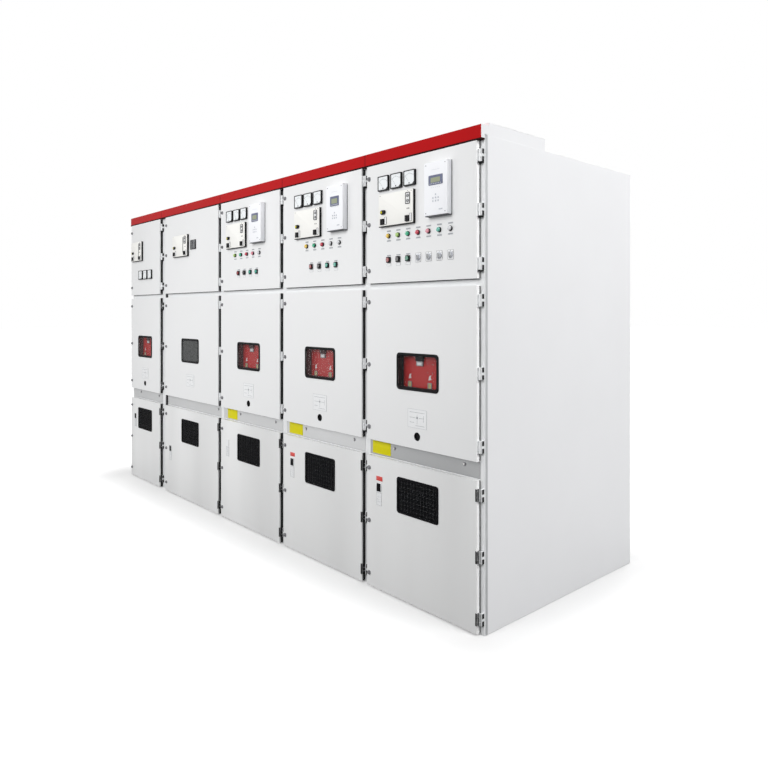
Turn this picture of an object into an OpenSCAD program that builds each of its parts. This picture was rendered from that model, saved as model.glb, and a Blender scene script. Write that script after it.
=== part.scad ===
// Five-panel row of metal-enclosed, withdrawable medium-voltage switchgear.
// Millimetres. The origin is the centre of the base footprint at floor level, +X runs along
// the row to the right as seen from the doors, the doors face -Y, and +Z is up.

/* [Row] */
// Width of the left-hand end panel
narrow_w = 650; // [600:10:720]
// Width of the wide panel beside it
wide_w = 1000; // [900:10:1200]
// Width of each of the three main panels
main_w = 800; // [760:10:1000]
// Depth of the cubicles without their doors
cab_d = 1300; // [1290:10:1660]
// Height of the cubicles without the control bus duct
cab_h = 2240; // [2200:10:2700]

/* [Frame] */
// Thickness of the folded steel sheet
sheet = 2; // [1.5:0.5:3]
// Width of a front post's face
post_w = 38; // [34:1:60]
// Depth of every post and rail
post_d = 45; // [30:1:60]
// Height of the base beams
base_h = 60; // [40:1:75]
// Thickness of the base angles
angle_t = 3; // [2:0.5:5]
// Width of a base angle's flange
angle_w = 50; // [40:1:60]
// Radius of a foundation bolt hole
foot_hole_r = 7; // [5:0.5:10]
// Distance of a foundation bolt hole from the front or the rear of the cubicle
foot_hole_inset = 90; // [80:1:150]
// Thickness of an end cover
cover_t = 3; // [2:0.5:4]
// Strip of the corner post left showing in front of an end cover
cover_set = 21; // [10:1:40]

/* [Doors] */
// Depth of a folded door pan
door_t = 25; // [20:1:30]
// Gap that the door seal leaves between a door and the frame
door_gap = 1; // [0.5:0.1:2]
// Strip of post left showing beside a door
door_margin = 22; // [20:1:26]
// Strip of post left showing at the left of the wide panel's doors
wide_margin = 90; // [60:1:120]
// Height of the cable door's lower edge above the floor
door_foot = 8; // [5:1:20]
// Height of a cable door
cable_door_h = 686; // [600:2:760]
// Height of the bare band between the cable door and the breaker door
band_h = 84; // [70:1:100]
// Height of a breaker door
breaker_door_h = 788; // [760:2:900]
// Gap between the breaker door and the instrument door
door_split = 32; // [12:1:40]
// Height of the frame above the instrument door
head_h = 26; // [24:1:60]
// Width of the folded lip round the back of a door pan
door_lip = 15; // [12:1:20]
// Width of frame that a door overlaps
overlay = 12; // [8:1:14]

/* [Hinges and latches] */
// Distance from the door's edge to the hinge pin's axis
hinge_off = 8; // [8:0.5:10]
// Height of a hinge
hinge_h = 56; // [40:2:80]
// Distance of the outer hinges and latches from the door's ends
hinge_inset = 66; // [50:1:100]
// Radius of a hinge pin
pin_r = 3; // [2:0.5:3.5]
// Running clearance round a hinge pin
pin_clear = 0.06; // [0.03:0.01:0.1]
// Radius of a hinge knuckle
knuckle_r = 5.5; // [5:0.1:5.7]
// Distance of a latch from the door's left edge
latch_inset = 18; // [17:1:30]
// Radius of a latch head
latch_r = 9; // [7:0.5:12]

/* [Openings in the doors] */
// Width of a breaker door window over its rubber seal
window_w = 290; // [200:2:320]
// Height of a breaker door window over its rubber seal
window_h = 184; // [120:2:220]
// Height of the window's centre above the door's lower edge
window_rise = 375; // [300:1:450]
// Visible width of the window's rubber seal
seal_w = 13; // [10:1:20]
// Corner radius of the window over its seal
window_round = 20; // [18:1:30]
// Thickness of a window pane
pane_t = 3; // [2:0.5:3.5]
// Depth of the black reveal behind a window, from the door's face
reveal_d = 34; // [12:1:34]
// Radius of the racking port
port_r = 18; // [15:0.5:24]
// Height of the racking port above the breaker door's lower edge
port_rise = 61; // [50:1:80]
// Width of the mesh window in a cable door
mesh_w = 286; // [200:2:320]
// Height of the mesh window in a cable door
mesh_h = 180; // [120:2:220]
// Height of the mesh window's centre above the cable door's lower edge
mesh_rise = 522; // [400:1:560]
// Pitch of the mesh wires
mesh_pitch = 22; // [16:1:30]
// Width of a mesh wire
wire_w = 3; // [2:0.5:5]
// Width of the frame round the mesh
mesh_rim = 10; // [8:1:20]
// Width of the earthing port's recessed plate
slot_w = 33; // [24:1:40]
// Height of the earthing port's recessed plate
slot_h = 44; // [30:1:60]

/* [Instruments] */
// Side of a square meter
meter_s = 75; // [60:1:80]
// Depth of a meter in front of the door
meter_d = 11; // [6:1:16]
// Distance between neighbouring meters
meter_pitch = 97; // [82:1:100]
// Width of the operating-state indicator
status_w = 254; // [180:2:260]
// Height of the operating-state indicator
status_h = 164; // [120:2:170]
// Depth of the operating-state indicator in front of the door
status_d = 17; // [8:1:30]
// Width of the protection relay
relay_w = 148; // [120:2:150]
// Height of the protection relay
relay_h = 250; // [200:2:270]
// Depth of the protection relay in front of the door
relay_d = 37; // [20:1:50]
// Radius of the bezel of a lamp, button or selector
bezel_r = 15; // [13:0.5:18]
// Radius of a button's cap
cap_r = 11; // [9:0.5:11.5]
// Travel of a button
button_travel = 4; // [2:0.5:4]
// Running clearance of a button or selector in its bezel
control_clear = 0.3; // [0.2:0.05:0.5]

/* [Withdrawable truck] */
// Distance from the test position, where the trucks are drawn, back to the service position
travel = 200; // [180:5:205]
// Distance of the truck's face behind the door's front in the service position
setback = 240; // [238:1:246]
// Room between the truck and each side of its panel
side_room = 74; // [70:1:90]
// Height of the truck above its deck
truck_h = 640; // [600:2:660]
// Height of the lower contact arms above the deck
arm_rise = 290; // [270:1:300]
// Distance between the lower and the upper contact arms
arm_split = 275; // [270:1:290]
// Phase pitch of the narrow panel
narrow_pitch = 150; // [140:1:150]
// Phase pitch of the main panels
main_pitch = 210; // [200:1:220]
// Radius of a pole's body
pole_r = 58; // [50:1:60]
// Radius of a contact arm
arm_r = 22; // [18:1:24]
// Outer radius of a contact cluster
cluster_r = 30; // [26:1:30]
// Length of a contact cluster
cluster_l = 70; // [60:1:80]
// Number of fingers in a contact cluster
finger_n = 8; // [6:1:12]
// Radius of a fixed contact rod
contact_r = 17.2; // [14:0.1:18]
// Radius of a truck wheel
wheel_r = 18; // [14:1:20]

/* [Contact wall] */
// Distance of the contact wall behind the front of the frame
wall_set = 710; // [700:5:740]
// Radius of a spout's mouth
mouth_r = 42; // [40:1:42]
// Outer radius of a spout
spout_r = 68; // [60:1:70]
// Depth of a spout behind the contact wall
spout_d = 190; // [180:5:220]
// Reach of the contact clusters past the shutters' front face
reach = 102; // [95:1:104]
// Lift of the shutters over the whole travel of the truck
shutter_lift = 160; // [150:1:170]
// Height of a shutter plate
shutter_h = 92; // [92:1:96]

/* [Earthing switch] */
// Height of the earthing switch shaft above the floor
earth_z = 537; // [500:1:560]
// Radius of the earthing switch shaft
earth_r = 15; // [12:0.5:18]
// Length of an earthing blade from the shaft's axis
blade_l = 197; // [190:1:199]
// Angle of the open blades below the horizontal
blade_drop = 60; // [50:1:70]
// Thickness of the tongue that the blades close on
tongue_t = 8; // [6:1:12]

/* [Top] */
// Height of the control bus duct
duct_h = 60; // [50:1:90]
// Depth of the control bus duct
duct_d = 430; // [380:5:440]
// Distance of the duct behind the front of the frame
duct_set = 34; // [20:1:40]
// Height of the red fascia
fascia_h = 60; // [50:1:74]
// Height of the dark lip under the fascia
fascia_lip = 8; // [4:1:10]
// Gap between the instrument doors and the lip
lip_gap = 1.5; // [1:0.5:6]
// Distance of the fascia's face in front of the frame
fascia_d = 22; // [16:1:28]

/* [Conductors] */
// Thickness of a main busbar
bar_t = 10; // [8:1:12]
// Height of a main busbar
bar_h = 80; // [60:1:100]
// Thickness of a branch bar
branch_t = 8; // [6:1:10]
// Width of a branch bar
branch_w = 50; // [40:1:60]
// Distance between the main busbars, upwards and backwards
bar_step = 110; // [100:1:130]
// Width of the narrow panel's current transformers
narrow_ct_w = 130; // [110:1:140]
// Width of the main panels' current transformers
main_ct_w = 150; // [120:1:180]

/* [Hidden] */
$fn = 48;
PANELS = [1, 2, 3, 4, 5];
TRUCKS = [1, 3, 4, 5];
function names(stem, list) = [for (k = list) str(stem, "_", k)];

// Widths and places of the panels
widths = [narrow_w, wide_w, main_w, main_w, main_w];
row_w = narrow_w + wide_w + 3 * main_w;
function left(k) = k == 1 ? -row_w / 2 : left(k - 1) + widths[k - 2];
function right(k) = left(k) + widths[k - 1];
function margin(k) = k == 2 ? wide_margin : door_margin;
function door_left(k) = left(k) + margin(k);
function door_w(k) = right(k) - door_margin - door_left(k);
function door_mid(k) = door_left(k) + door_w(k) / 2;
function mid(k) = (left(k) + right(k)) / 2;
function frame_left(k) = left(k) + seat;
function frame_right(k) = right(k) - seat;
function inside(k) = [frame_left(k) + sheet + seat, frame_right(k) - sheet - seat];
function post_left(k) = margin(k) + post_w - door_margin;

// Depths, from the front of the frame to the back
front = -cab_d / 2;
back = cab_d / 2;
door_back = front - door_gap;
door_face = door_back - door_t;
hinge_y = door_back - door_t / 2;
inner_front = front + post_d;
wall_y = front + wall_set;
board_y = front + duct_set + duct_d - 30;

// Heights, from the floor up
cable_top = door_foot + cable_door_h;
breaker_foot = cable_top + band_h;
breaker_top = breaker_foot + breaker_door_h;
board_foot = breaker_top + door_split;
board_top = cab_h - head_h;
board_h = board_top - board_foot;
deck_t = 3;
deck_z = breaker_foot - 6;
ceiling_z = breaker_top + door_split / 2;
lower_z = deck_z + arm_rise;
upper_z = lower_z + arm_split;
shelf_z = (lower_z + upper_z) / 2;
louvre_w = 120;
louvre_h = 6;
louvre_pitch = 22;
louvre_n = 6;

// Shared fits. Pieces that are bolted together lie a seat apart
fit = 0.3;
seat = 0.2;
rail_t = 4;
wheel_w = 14;
beam_h = 88;
face_y = door_face + setback;
pole_y = face_y + 250;
shutter_t = 4;
flange_t = 12;
shutter_gap = 4;
shutter_y = wall_y - flange_t - shutter_gap - shutter_t;
tip_y = shutter_y + reach;
cluster_bore = contact_r + 0.3;
bore_d = 45;
shutter_rise = shutter_lift - mouth_r - 2;
guide_x = 16;
spout_end = wall_y + spout_d;
link_y = spout_end + 12;
ct_y = wall_y + 230;
ct_d = 200;
ct_z = lower_z - 232;
ct_h = 180;
ct_post_h = 12;
ct_top = ct_z + ct_h + ct_post_h;
cable_bar_y = ct_y + ct_d + 22;
earth_y = ct_y + 20;
tongue_z = earth_z + 60;
rear_beam_y = back - sheet - seat - post_d;
bar_z = upper_z + 240;
bar_y = wall_y + 235;

function pitch(k) = k == 1 ? narrow_pitch : main_pitch;
function phases(k) = [for (i = [-1:1]) mid(k) + i * pitch(k)];
function truck_w(k) = widths[k - 1] - 2 * side_room;
function ct_w(k) = k == 1 ? narrow_ct_w : main_ct_w;
function shutter_w(k) = 2 * pitch(k) + 2 * mouth_r + 64;
function hinge_zs(h) = [hinge_inset, h / 2, h - hinge_inset];

// Instruments on each upper door, as [x from the door's left edge, drop from its top]
meter_row = [221, 0, 132, 172, 138];
meter_drop = [445, 0, 105, 105, 105];
status_at = [[150, 237], [297, 251], [228, 245], [268, 245], [239, 245]];
status_ws = [220, status_w, status_w, status_w, status_w];
relay_at = [0, 0, 512, 559, 533];
relay_drop = 187;
lamp_at = [0, 0, 205, 251, 173];
lamp_n = [0, 0, 5, 5, 7];
lamp_pitch = [0, 0, 78, 78, 71];
lamp_drop = 378;
button_at = [0, 0, 249, 297, 173];
button_n = [0, 0, 4, 4, 7];
button_drop = 500;
function grilles(k) = k == 2 ? [[499, 254, 90, 72]] : [];
function meters(k) = meter_row[k - 1] == 0 ? [] :
    [for (i = [0:2]) [meter_row[k - 1] + i * meter_pitch, meter_drop[k - 1], meter_s, meter_s]];
function relays(k) = relay_at[k - 1] == 0 ? [] : [[relay_at[k - 1], relay_drop, relay_w, relay_h]];
function statuses(k) = [[status_at[k - 1][0], status_at[k - 1][1], status_ws[k - 1], status_h]];
function row_of(start, count, step, drop) =
    count == 0 ? [] : [for (i = [0:count - 1]) [start + i * step, drop]];
function lamps(k) = row_of(lamp_at[k - 1], lamp_n[k - 1], lamp_pitch[k - 1], lamp_drop);
function buttons(k) = row_of(button_at[k - 1], button_n[k - 1], lamp_pitch[k - 1], button_drop);

// A box between two ends on each axis
module span(x, y, z) {
    translate([x[0], y[0], z[0]]) cube([x[1] - x[0], y[1] - y[0], z[1] - z[0]]);
}

// A cylinder along X, Y or Z from a start to an end
module rod_x(r, x) { translate([x[0], 0, 0]) rotate([0, 90, 0]) cylinder(r = r, h = x[1] - x[0]); }
module rod_y(r, y) { translate([0, y[0], 0]) rotate([-90, 0, 0]) cylinder(r = r, h = y[1] - y[0]); }
module rod_z(r, z) { translate([0, 0, z[0]]) cylinder(r = r, h = z[1] - z[0]); }

// An upright plate from an outline in X and Z, reaching t forwards from y
module upright(y, t) { translate([0, y, 0]) rotate([90, 0, 0]) linear_extrude(t) children(); }

// A rectangle with round corners, centred
module rounded(w, h, r) {
    square([w - 2 * r, h], center = true);
    square([w, h - 2 * r], center = true);
    for (x = [-1, 1], y = [-1, 1])
        translate([x * (w / 2 - r), y * (h / 2 - r)]) circle(r);
}

// The outline of a channel, w wide and d deep, open at the back
module channel(w, d) {
    difference() {
        square([w, d]);
        translate([sheet, sheet]) square([w - 2 * sheet, d]);
    }
}

// A channel standing up with its back to the front, from x to x + w
module post(x, w, y, z) {
    translate([x, y, z[0]]) linear_extrude(z[1] - z[0]) channel(w, post_d);
}

// The same channel turned to stand at the rear, facing backwards
module rear_post(x, w, z) {
    translate([x, back - sheet, z[0]]) mirror([0, 1, 0])
        linear_extrude(z[1] - z[0]) channel(w, post_d - sheet);
}

// A channel lying along X with its face to the front
module rail(x, y, z) {
    translate([x[0], y, z[0]]) rotate([90, 0, 90]) linear_extrude(x[1] - x[0])
        translate([0, z[1] - z[0]]) rotate(-90) channel(z[1] - z[0], post_d);
}

// Posts, cross rails and the brushed bands between the doors
module cubicle_frames() {
    color("gainsboro")
    for (k = PANELS) {
        post(frame_left(k), post_left(k), front, [0, cab_h]);
        post(frame_right(k) - post_w, post_w, front, [0, cab_h]);
        rear_post(inside(k)[0], post_w, [0, cab_h - sheet - seat]);
        rear_post(inside(k)[1] - post_w, post_w, [0, cab_h - sheet - seat]);
        across = between_posts(k);
        rail(across, front, [cable_top - overlay, breaker_foot + overlay]);
        rail(across, front, [breaker_top - overlay, board_foot + overlay]);
        rail(across, front, [board_top - overlay, cab_h]);
        band_plate(k);
    }
}

function between_posts(k) =
    [frame_left(k) + post_left(k) + seat, frame_right(k) - post_w - seat];

module band_plate(k) {
    edge = 4;
    color("silver")
    span([door_left(k), door_left(k) + door_w(k)], [front - sheet - seat, front - seat],
        [cable_top + edge, breaker_foot - edge]);
}

// Base beams, the angles that bolt to the foundation, and the floor plates
module base_frames() {
    color("darkgray")
    for (k = PANELS) {
        rail(between_posts(k), front, [0, base_h]);
        mirror([0, 1, 0]) rail([inside(k)[0] + post_w + seat, inside(k)[1] - post_w - seat],
            sheet - back, [0, base_h]);
        base_angle(inside(k)[0], 1);
        base_angle(inside(k)[1], -1);
        floor_plate(k, [front + foot_hole_inset + 40, wall_y - 1]);
        floor_plate(k, [wall_y + 1, wall_y + 240]);
        floor_plate(k, [wall_y + 242, back - foot_hole_inset - 40]);
    }
}

// One angle along Y against a side wall, turned by dir towards the middle of the panel
module base_angle(x, dir) {
    hole_y = back - foot_hole_inset;
    angle_y = [inner_front + seat, rear_beam_y];
    translate([x, 0, 0]) scale_x(dir) difference() {
        union() {
            span([0, angle_w], angle_y, [0, angle_t]);
            span([0, angle_t], angle_y, [0, base_h - angle_t - seat]);
        }
        for (y = [-hole_y, hole_y])
            translate([angle_w / 2, y, 0]) rod_z(foot_hole_r, [-1, angle_t + 1]);
    }
}

module scale_x(dir) {
    if (dir > 0) children();
    else mirror([1, 0, 0]) children();
}

module floor_plate(k, y) {
    span(inside(k), y, [base_h - angle_t, base_h]);
}

// Side walls, decks, ceilings and the partitions between the compartments
module cubicle_sheets() {
    color("lightsteelblue")
    for (k = PANELS) {
        side_wall(frame_left(k));
        side_wall(frame_right(k) - sheet);
        span(inside(k), [inner_front + seat, wall_y - seat], [deck_z - deck_t, deck_z]);
        span(inside(k), [inner_front + seat, wall_y + sheet], [ceiling_z - sheet, ceiling_z]);
        span(inside(k), [board_y, board_y + sheet], [ceiling_z + seat, cab_h - sheet - seat]);
        span(inside(k), [wall_y + sheet + seat, back - post_d - seat], [shelf_z - sheet, shelf_z]);
        contact_wall(k);
        if (k != 2) ct_beams(k);
    }
}

// One side wall with slots where the busbar bushings pass
module side_wall(x) {
    difference() {
        span([x, x + sheet], [inner_front + seat, back - sheet - seat], [0, cab_h - sheet - seat]);
        if (abs(x) < row_w / 2 - 2 * sheet)
            for (i = [0:2])
                translate([0, bar_y + i * bar_step, bar_z + i * bar_step])
                    bushing_cut(x);
    }
}

module bushing_cut(x) {
    room = 16;
    span([x - 1, x + sheet + 1], [-room, bar_t + room], [-bar_h / 2 - room, bar_h / 2 + room]);
}

module contact_wall(k) {
    difference() {
        span(inside(k), [wall_y, wall_y + sheet], [deck_z - deck_t, ceiling_z - sheet - seat]);
        if (k != 2)
            for (x = phases(k), z = [lower_z, upper_z])
                translate([x, 0, z]) rod_y(spout_r + fit, [wall_y - 1, wall_y + sheet + 1]);
    }
}

// Two beams that carry the current transformers, and one behind the cable bars
module ct_beams(k) {
    for (y = [ct_y + 10, ct_y + ct_d - 10 - post_d])
        rail(inside(k), y, [ct_z - 40, ct_z]);
    rail([inside(k)[0] + post_w + seat, inside(k)[1] - post_w - seat], rear_beam_y,
        [earth_z - 30, earth_z + 30]);
}

// Plain covers on the two ends of the row
module end_covers() {
    color("whitesmoke")
    for (x = [-row_w / 2 - cover_t, row_w / 2])
        span([x, x + cover_t], [front + cover_set, back], [2, cab_h]);
}

// Upper and lower rear covers, the lower one with two groups of vent slots
module rear_covers() {
    edge = 6;
    color("whitesmoke")
    for (k = PANELS) {
        x = [left(k) + edge / 2, right(k) - edge / 2];
        span(x, [back - sheet, back], [shelf_z + edge, cab_h - edge]);
        difference() {
            span(x, [back - sheet, back], [door_foot, shelf_z - edge]);
            for (side = [-1, 1], i = [0:louvre_n - 1])
                translate([mid(k) + side * widths[k - 1] / 4, 0, base_h + 60 + i * louvre_pitch])
                    span([-louvre_w / 2, louvre_w / 2], [back - sheet - 1, back + 1], [0, louvre_h]);
        }
    }
}

// Openings in a roof, as [front, rear] of each
flap_lap = 12;
vents = [[front + duct_set + duct_d + 30, wall_y - 20], [wall_y + 20, wall_y + 250],
    [wall_y + 290, back - 50]];

module roof_plates() {
    color("gainsboro")
    for (k = PANELS)
        difference() {
            span(inside(k), [inner_front, back - sheet], [cab_h - sheet, cab_h]);
            for (v = vents)
                span([left(k) + 60, right(k) - 60], v, [cab_h - sheet - 1, cab_h + 1]);
        }
}

// Pressure-relief flaps with a turned-down rib at each side
module relief_flaps() {
    rib = 20;
    color("gainsboro")
    for (k = PANELS, v = vents) {
        span([left(k) + 60 - flap_lap, right(k) - 60 + flap_lap], [v[0] - flap_lap, v[1] + flap_lap],
            [cab_h, cab_h + sheet]);
        for (x = [left(k) + 66, right(k) - 66 - rib])
            span([x, x + rib], [v[0] + 20, v[1] - 20], [cab_h + sheet, cab_h + 3 * sheet]);
    }
}

// The raised duct for the control wiring, with one lid for each panel
module control_bus_duct() {
    y0 = front + duct_set;
    y1 = y0 + duct_d;
    top = cab_h + duct_h;
    color("whitesmoke") {
        for (y = [y0, y1 - sheet])
            span([-row_w / 2, row_w / 2], [y, y + sheet], [cab_h, top - sheet - seat]);
        for (x = [-row_w / 2, row_w / 2 - sheet])
            span([x, x + sheet], [y0 + sheet + seat, y1 - sheet - seat],
                [cab_h, top - sheet - seat]);
        for (k = PANELS)
            span([frame_left(k), frame_right(k)], [y0, y1], [top - sheet, top]);
    }
}

// Red fascia channels, one for each panel, each over a dark lip. The outer two reach over the
// end covers and are closed there
module fascia_strips() {
    foot = board_top + lip_gap;
    low = foot + fascia_lip + seat;
    top = foot + fascia_lip + fascia_h;
    y = front - fascia_d;
    for (k = PANELS) {
        x = [k == 1 ? left(k) - cover_t : left(k) + 0.5, k == 5 ? right(k) + cover_t : right(k) - 0.5];
        color("red") {
            span(x, [y, y + sheet], [low, top]);
            span(x, [y + sheet, front + duct_set], [top - sheet, top]);
            span(x, [y + sheet, front], [low, foot + fascia_lip + sheet]);
            if (k == 1) fascia_end([x[0], x[0] + sheet], y, low, top);
            if (k == 5) fascia_end([x[1] - sheet, x[1]], y, low, top);
        }
        color("black")
        span(x, [y - sheet, front], [foot, foot + fascia_lip]);
    }
}

module fascia_end(x, y, low, top) {
    span(x, [y, front - seat], [low, top]);
    span(x, [front - seat, front + duct_set], [cab_h + seat, top]);
}

// Everything that guides the trucks and the shutters, and the earthing switches' drives
module guide_rails() {
    color("silver")
    for (k = TRUCKS) {
        for (side = [-1, 1]) {
            truck_rail(k, side);
            shutter_guide(k, side);
            earth_bearing(k, side);
        }
        earth_drive(k);
    }
}

// A rail that the truck's wheels roll on, folded over their tops
module truck_rail(k, side) {
    edge = truck_w(k) / 2;
    tall = 2 * wheel_r + 10;
    translate([mid(k), 0, deck_z]) scale_x(side) {
        span([edge - wheel_w - 4, edge + 6], [inner_front + 5, wall_y - 80], [0, rail_t]);
        span([edge + 2, edge + 6], [inner_front + 5, wall_y - 80], [rail_t, tall]);
        span([edge - 8, edge + 6], [inner_front + 5, wall_y - 80], [tall, tall + rail_t]);
    }
}

// Two angles on the contact wall that hold one edge of the shutters
module shutter_guide(k, side) {
    edge = shutter_w(k) / 2;
    low = lower_z - mouth_r - 20;
    high = min(upper_z + shutter_rise + shutter_h + 6, ceiling_z - sheet);
    translate([mid(k), 0, 0]) scale_x(side) {
        span([edge + fit, edge + guide_x], [shutter_y - shutter_t, wall_y], [low, high]);
        span([edge - 10, edge + fit], [shutter_y - shutter_t, shutter_y - fit], [low, high]);
    }
}

// A bearing plate for the earthing switch shaft, foot against the side wall
module earth_bearing(k, side) {
    half = 30;
    wall_x = widths[k - 1] / 2 - sheet - 2 * seat;
    translate([mid(k), earth_y, earth_z]) scale_x(side) {
        difference() {
            span([wall_x - 14, wall_x - 6], [-half, half], [-half, half]);
            rod_x(earth_r + pin_clear, [wall_x - 15, wall_x]);
        }
        span([wall_x - 6, wall_x], [-half, half], [half - 8, half]);
        span([wall_x - 6, wall_x], [-half, half], [-half, 8 - half]);
    }
}

// The front drive rod behind the earthing port and the gearbox that it turns
slot_x = 96;
module earth_drive(k) {
    box = 24;
    x = door_left(k) + slot_x;
    translate([x, 0, earth_z]) {
        rod_y(9, [inner_front + 8, earth_y - box - earth_r - 1]);
        difference() {
            span([-box, box], [earth_y - box - earth_r - 1, earth_y + earth_r + 8],
                [-box - 4, box + 4]);
            translate([0, earth_y, 0]) rod_x(earth_r + pin_clear, [-box - 1, box + 1]);
        }
        drive_bracket();
    }
}

// The plate that carries the drive rod's front end on the cross rail above it
module drive_bracket() {
    high = cable_top - overlay - earth_z;
    difference() {
        span([-18, 18], [inner_front - 6, inner_front], [-18, high]);
        rod_y(7, [inner_front - 7, inner_front + 1]);
    }
    rod_y(6.9, [inner_front - 14, inner_front + 8]);
}

// Resin parts: contact spouts, busbar bushings and the posts behind the cable bars
module insulators() {
    color("firebrick") {
        for (k = TRUCKS) {
            for (x = phases(k), z = [lower_z, upper_z]) translate([x, 0, z]) spout();
            for (x = phases(k)) translate([x, 0, earth_z]) post_insulator();
        }
        for (j = [1:6], i = [0:2])
            translate([j == 6 ? row_w / 2 : left(j), bar_y + i * bar_step, bar_z + i * bar_step])
                bushing(j);
    }
}

// A spout: a flange on the contact wall, ribs, and a cup that holds the fixed contact
module spout() {
    cup = spout_d - 60;
    rib_r = spout_r + 4;
    ribs = [for (i = [0:2], p = [[0, 0], [4, 0], [4, 10], [0, 10]])
        [spout_r + p[0], 30 + 50 * i + p[1]]];
    translate([0, wall_y, 0]) rotate([-90, 0, 0]) rotate_extrude() polygon(concat(
        [[mouth_r, -flange_t], [rib_r, -flange_t], [rib_r, 0], [spout_r, 0]], ribs,
        [[spout_r, spout_d], [contact_r + fit, spout_d], [contact_r + fit, cup], [mouth_r, cup]]));
}

// A shedded post between a cable bar and the beam behind it
module post_insulator() {
    y0 = cable_bar_y + branch_t + seat;
    long = rear_beam_y - y0;
    sheds = [for (i = [0:2], p = [[0, 0], [7, 5], [7, 9], [0, 14]])
        [20 + p[0], long * (i + 0.6) / 4 + p[1]]];
    translate([0, y0, 0]) rotate([-90, 0, 0]) rotate_extrude()
        polygon(concat([[0, 0], [20, 0]], sheds, [[20, long], [0, long]]));
}

// A bushing that carries a main busbar through a wall, or stands off an end wall
module bushing(j) {
    half = 14;
    room = 15;
    near = sheet + 2 * seat;
    x = j == 1 ? [near, near + half] : j == 6 ? [-near - half, -near] : [-half, half];
    difference() {
        span(x, [-room, bar_t + room], [-bar_h / 2 - room, bar_h / 2 + room]);
        span([x[0] - 1, x[1] + 1], [-fit, bar_t + fit], [-bar_h / 2 - fit, bar_h / 2 + fit]);
    }
}

// Main bars, branch bars, fixed contacts, cable bars and the earth bar
module busbars() {
    end = row_w / 2 - 2 * sheet;
    color("peru") {
        for (i = [0:2])
            translate([0, bar_y + i * bar_step, bar_z + i * bar_step])
                span([-end, end], [0, bar_t], [-bar_h / 2, bar_h / 2]);
        for (k = TRUCKS, i = [0:2]) translate([phases(k)[i], 0, 0]) {
            fixed_contact(upper_z);
            fixed_contact(lower_z);
            branch_bar(i);
            lower_link();
            cable_bar();
        }
        for (k = PANELS) earth_bar(k);
    }
}

module fixed_contact(z) {
    translate([0, 0, z]) difference() {
        rod_y(contact_r, [tip_y - bore_d + 2, link_y]);
        translate([0, tip_y - bore_d + 2, 0]) rotate([-90, 0, 0])
            cylinder(r1 = 6, r2 = 0, h = 6);
    }
}

// From the upper fixed contact back to its own main bar and up to it
module branch_bar(i) {
    y = bar_y + i * bar_step - branch_t - seat;
    z = bar_z + i * bar_step;
    half = branch_w / 2;
    low = upper_z - branch_t / 2;
    span([-half, half], [link_y + seat, link_y + branch_t], [upper_z - half, upper_z + half]);
    span([-half, half], [link_y + branch_t, y + branch_t], [low, low + branch_t]);
    span([-half, half], [y, y + branch_t], [low, z + bar_h / 2]);
}

// From the lower fixed contact down on to the transformer's front terminal
module lower_link() {
    half = branch_w / 2;
    span([-half, half], [link_y + seat, link_y + branch_t], [ct_top, lower_z + half]);
    span([-half, half], [link_y + branch_t, ct_y + 50], [ct_top, ct_top + branch_t]);
}

// From the rear terminal down to the cable lugs, with the earthing tongue on it
module cable_bar() {
    half = branch_w / 2;
    span([-half, half], [ct_y + ct_d - 50, cable_bar_y + branch_t], [ct_top, ct_top + branch_t]);
    span([-half, half], [cable_bar_y, cable_bar_y + branch_t], [earth_z - 60, ct_top]);
    span([-tongue_t / 2, tongue_t / 2], [cable_bar_y - 40, cable_bar_y],
        [tongue_z - 30, tongue_z + 30]);
}

// The earth bar across each panel, on the rear face of the front base beam
module earth_bar(k) {
    span([left(k) + angle_w + 4, right(k) - angle_w - 4], [inner_front + seat, inner_front + 5],
        [base_h - 40, base_h]);
}

// Block-type current transformers, three to each truck panel
module current_transformers() {
    color("saddlebrown")
    for (k = TRUCKS, x = phases(k)) translate([x, 0, 0]) ct_block(ct_w(k) / 2);
}

module ct_block(half) {
    upper = ct_h * 0.55;
    difference() {
        union() {
            span([-half, half], [ct_y, ct_y + ct_d], [ct_z, ct_z + ct_h - upper]);
            span([-half + 14, half - 14], [ct_y + 8, ct_y + ct_d - 8],
                [ct_z + ct_h - upper, ct_z + ct_h]);
        }
        span([-half - 1, half + 1], [ct_y + ct_d / 2 - 25, ct_y + ct_d / 2 + 25],
            [ct_z + ct_h - 24, ct_z + ct_h + 1]);
    }
    for (y = [ct_y + 28, ct_y + ct_d - 28])
        translate([0, y, 0]) rod_z(14, [ct_z + ct_h, ct_top]);
}

// Voltage transformers with fuse tubes on the deck of the wide panel
module voltage_transformers() {
    wide = 170;
    deep = 260;
    tall = 210;
    y = inner_front + 200;
    color("saddlebrown")
    for (i = [-1:1]) translate([mid(2) + i * 240, y, deck_z]) {
        span([-wide / 2, wide / 2], [0, deep], [0, tall * 0.4]);
        span([-wide / 2 + 20, wide / 2 - 20], [20, deep - 20], [tall * 0.4, tall]);
        translate([0, 60, 0]) rod_z(26, [tall, tall + 60]);
        translate([0, deep - 60, 0]) rod_z(26, [tall, tall + 60]);
        translate([0, 0, tall + 60 + 22]) rod_y(22, [20, deep - 20]);
    }
}

// Fixed halves of all the hinges, each with its pin
module hinge_blocks() {
    color("dimgray")
    for (k = PANELS) {
        x = right(k) - door_margin + hinge_off;
        for (z = hinge_zs(cable_door_h)) translate([x, hinge_y, door_foot + z]) fixed_hinge();
        for (z = hinge_zs(breaker_door_h)) translate([x, hinge_y, breaker_foot + z]) fixed_hinge();
        for (z = hinge_zs(board_h)) translate([x, hinge_y, board_foot + z]) fixed_hinge();
    }
}

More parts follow.
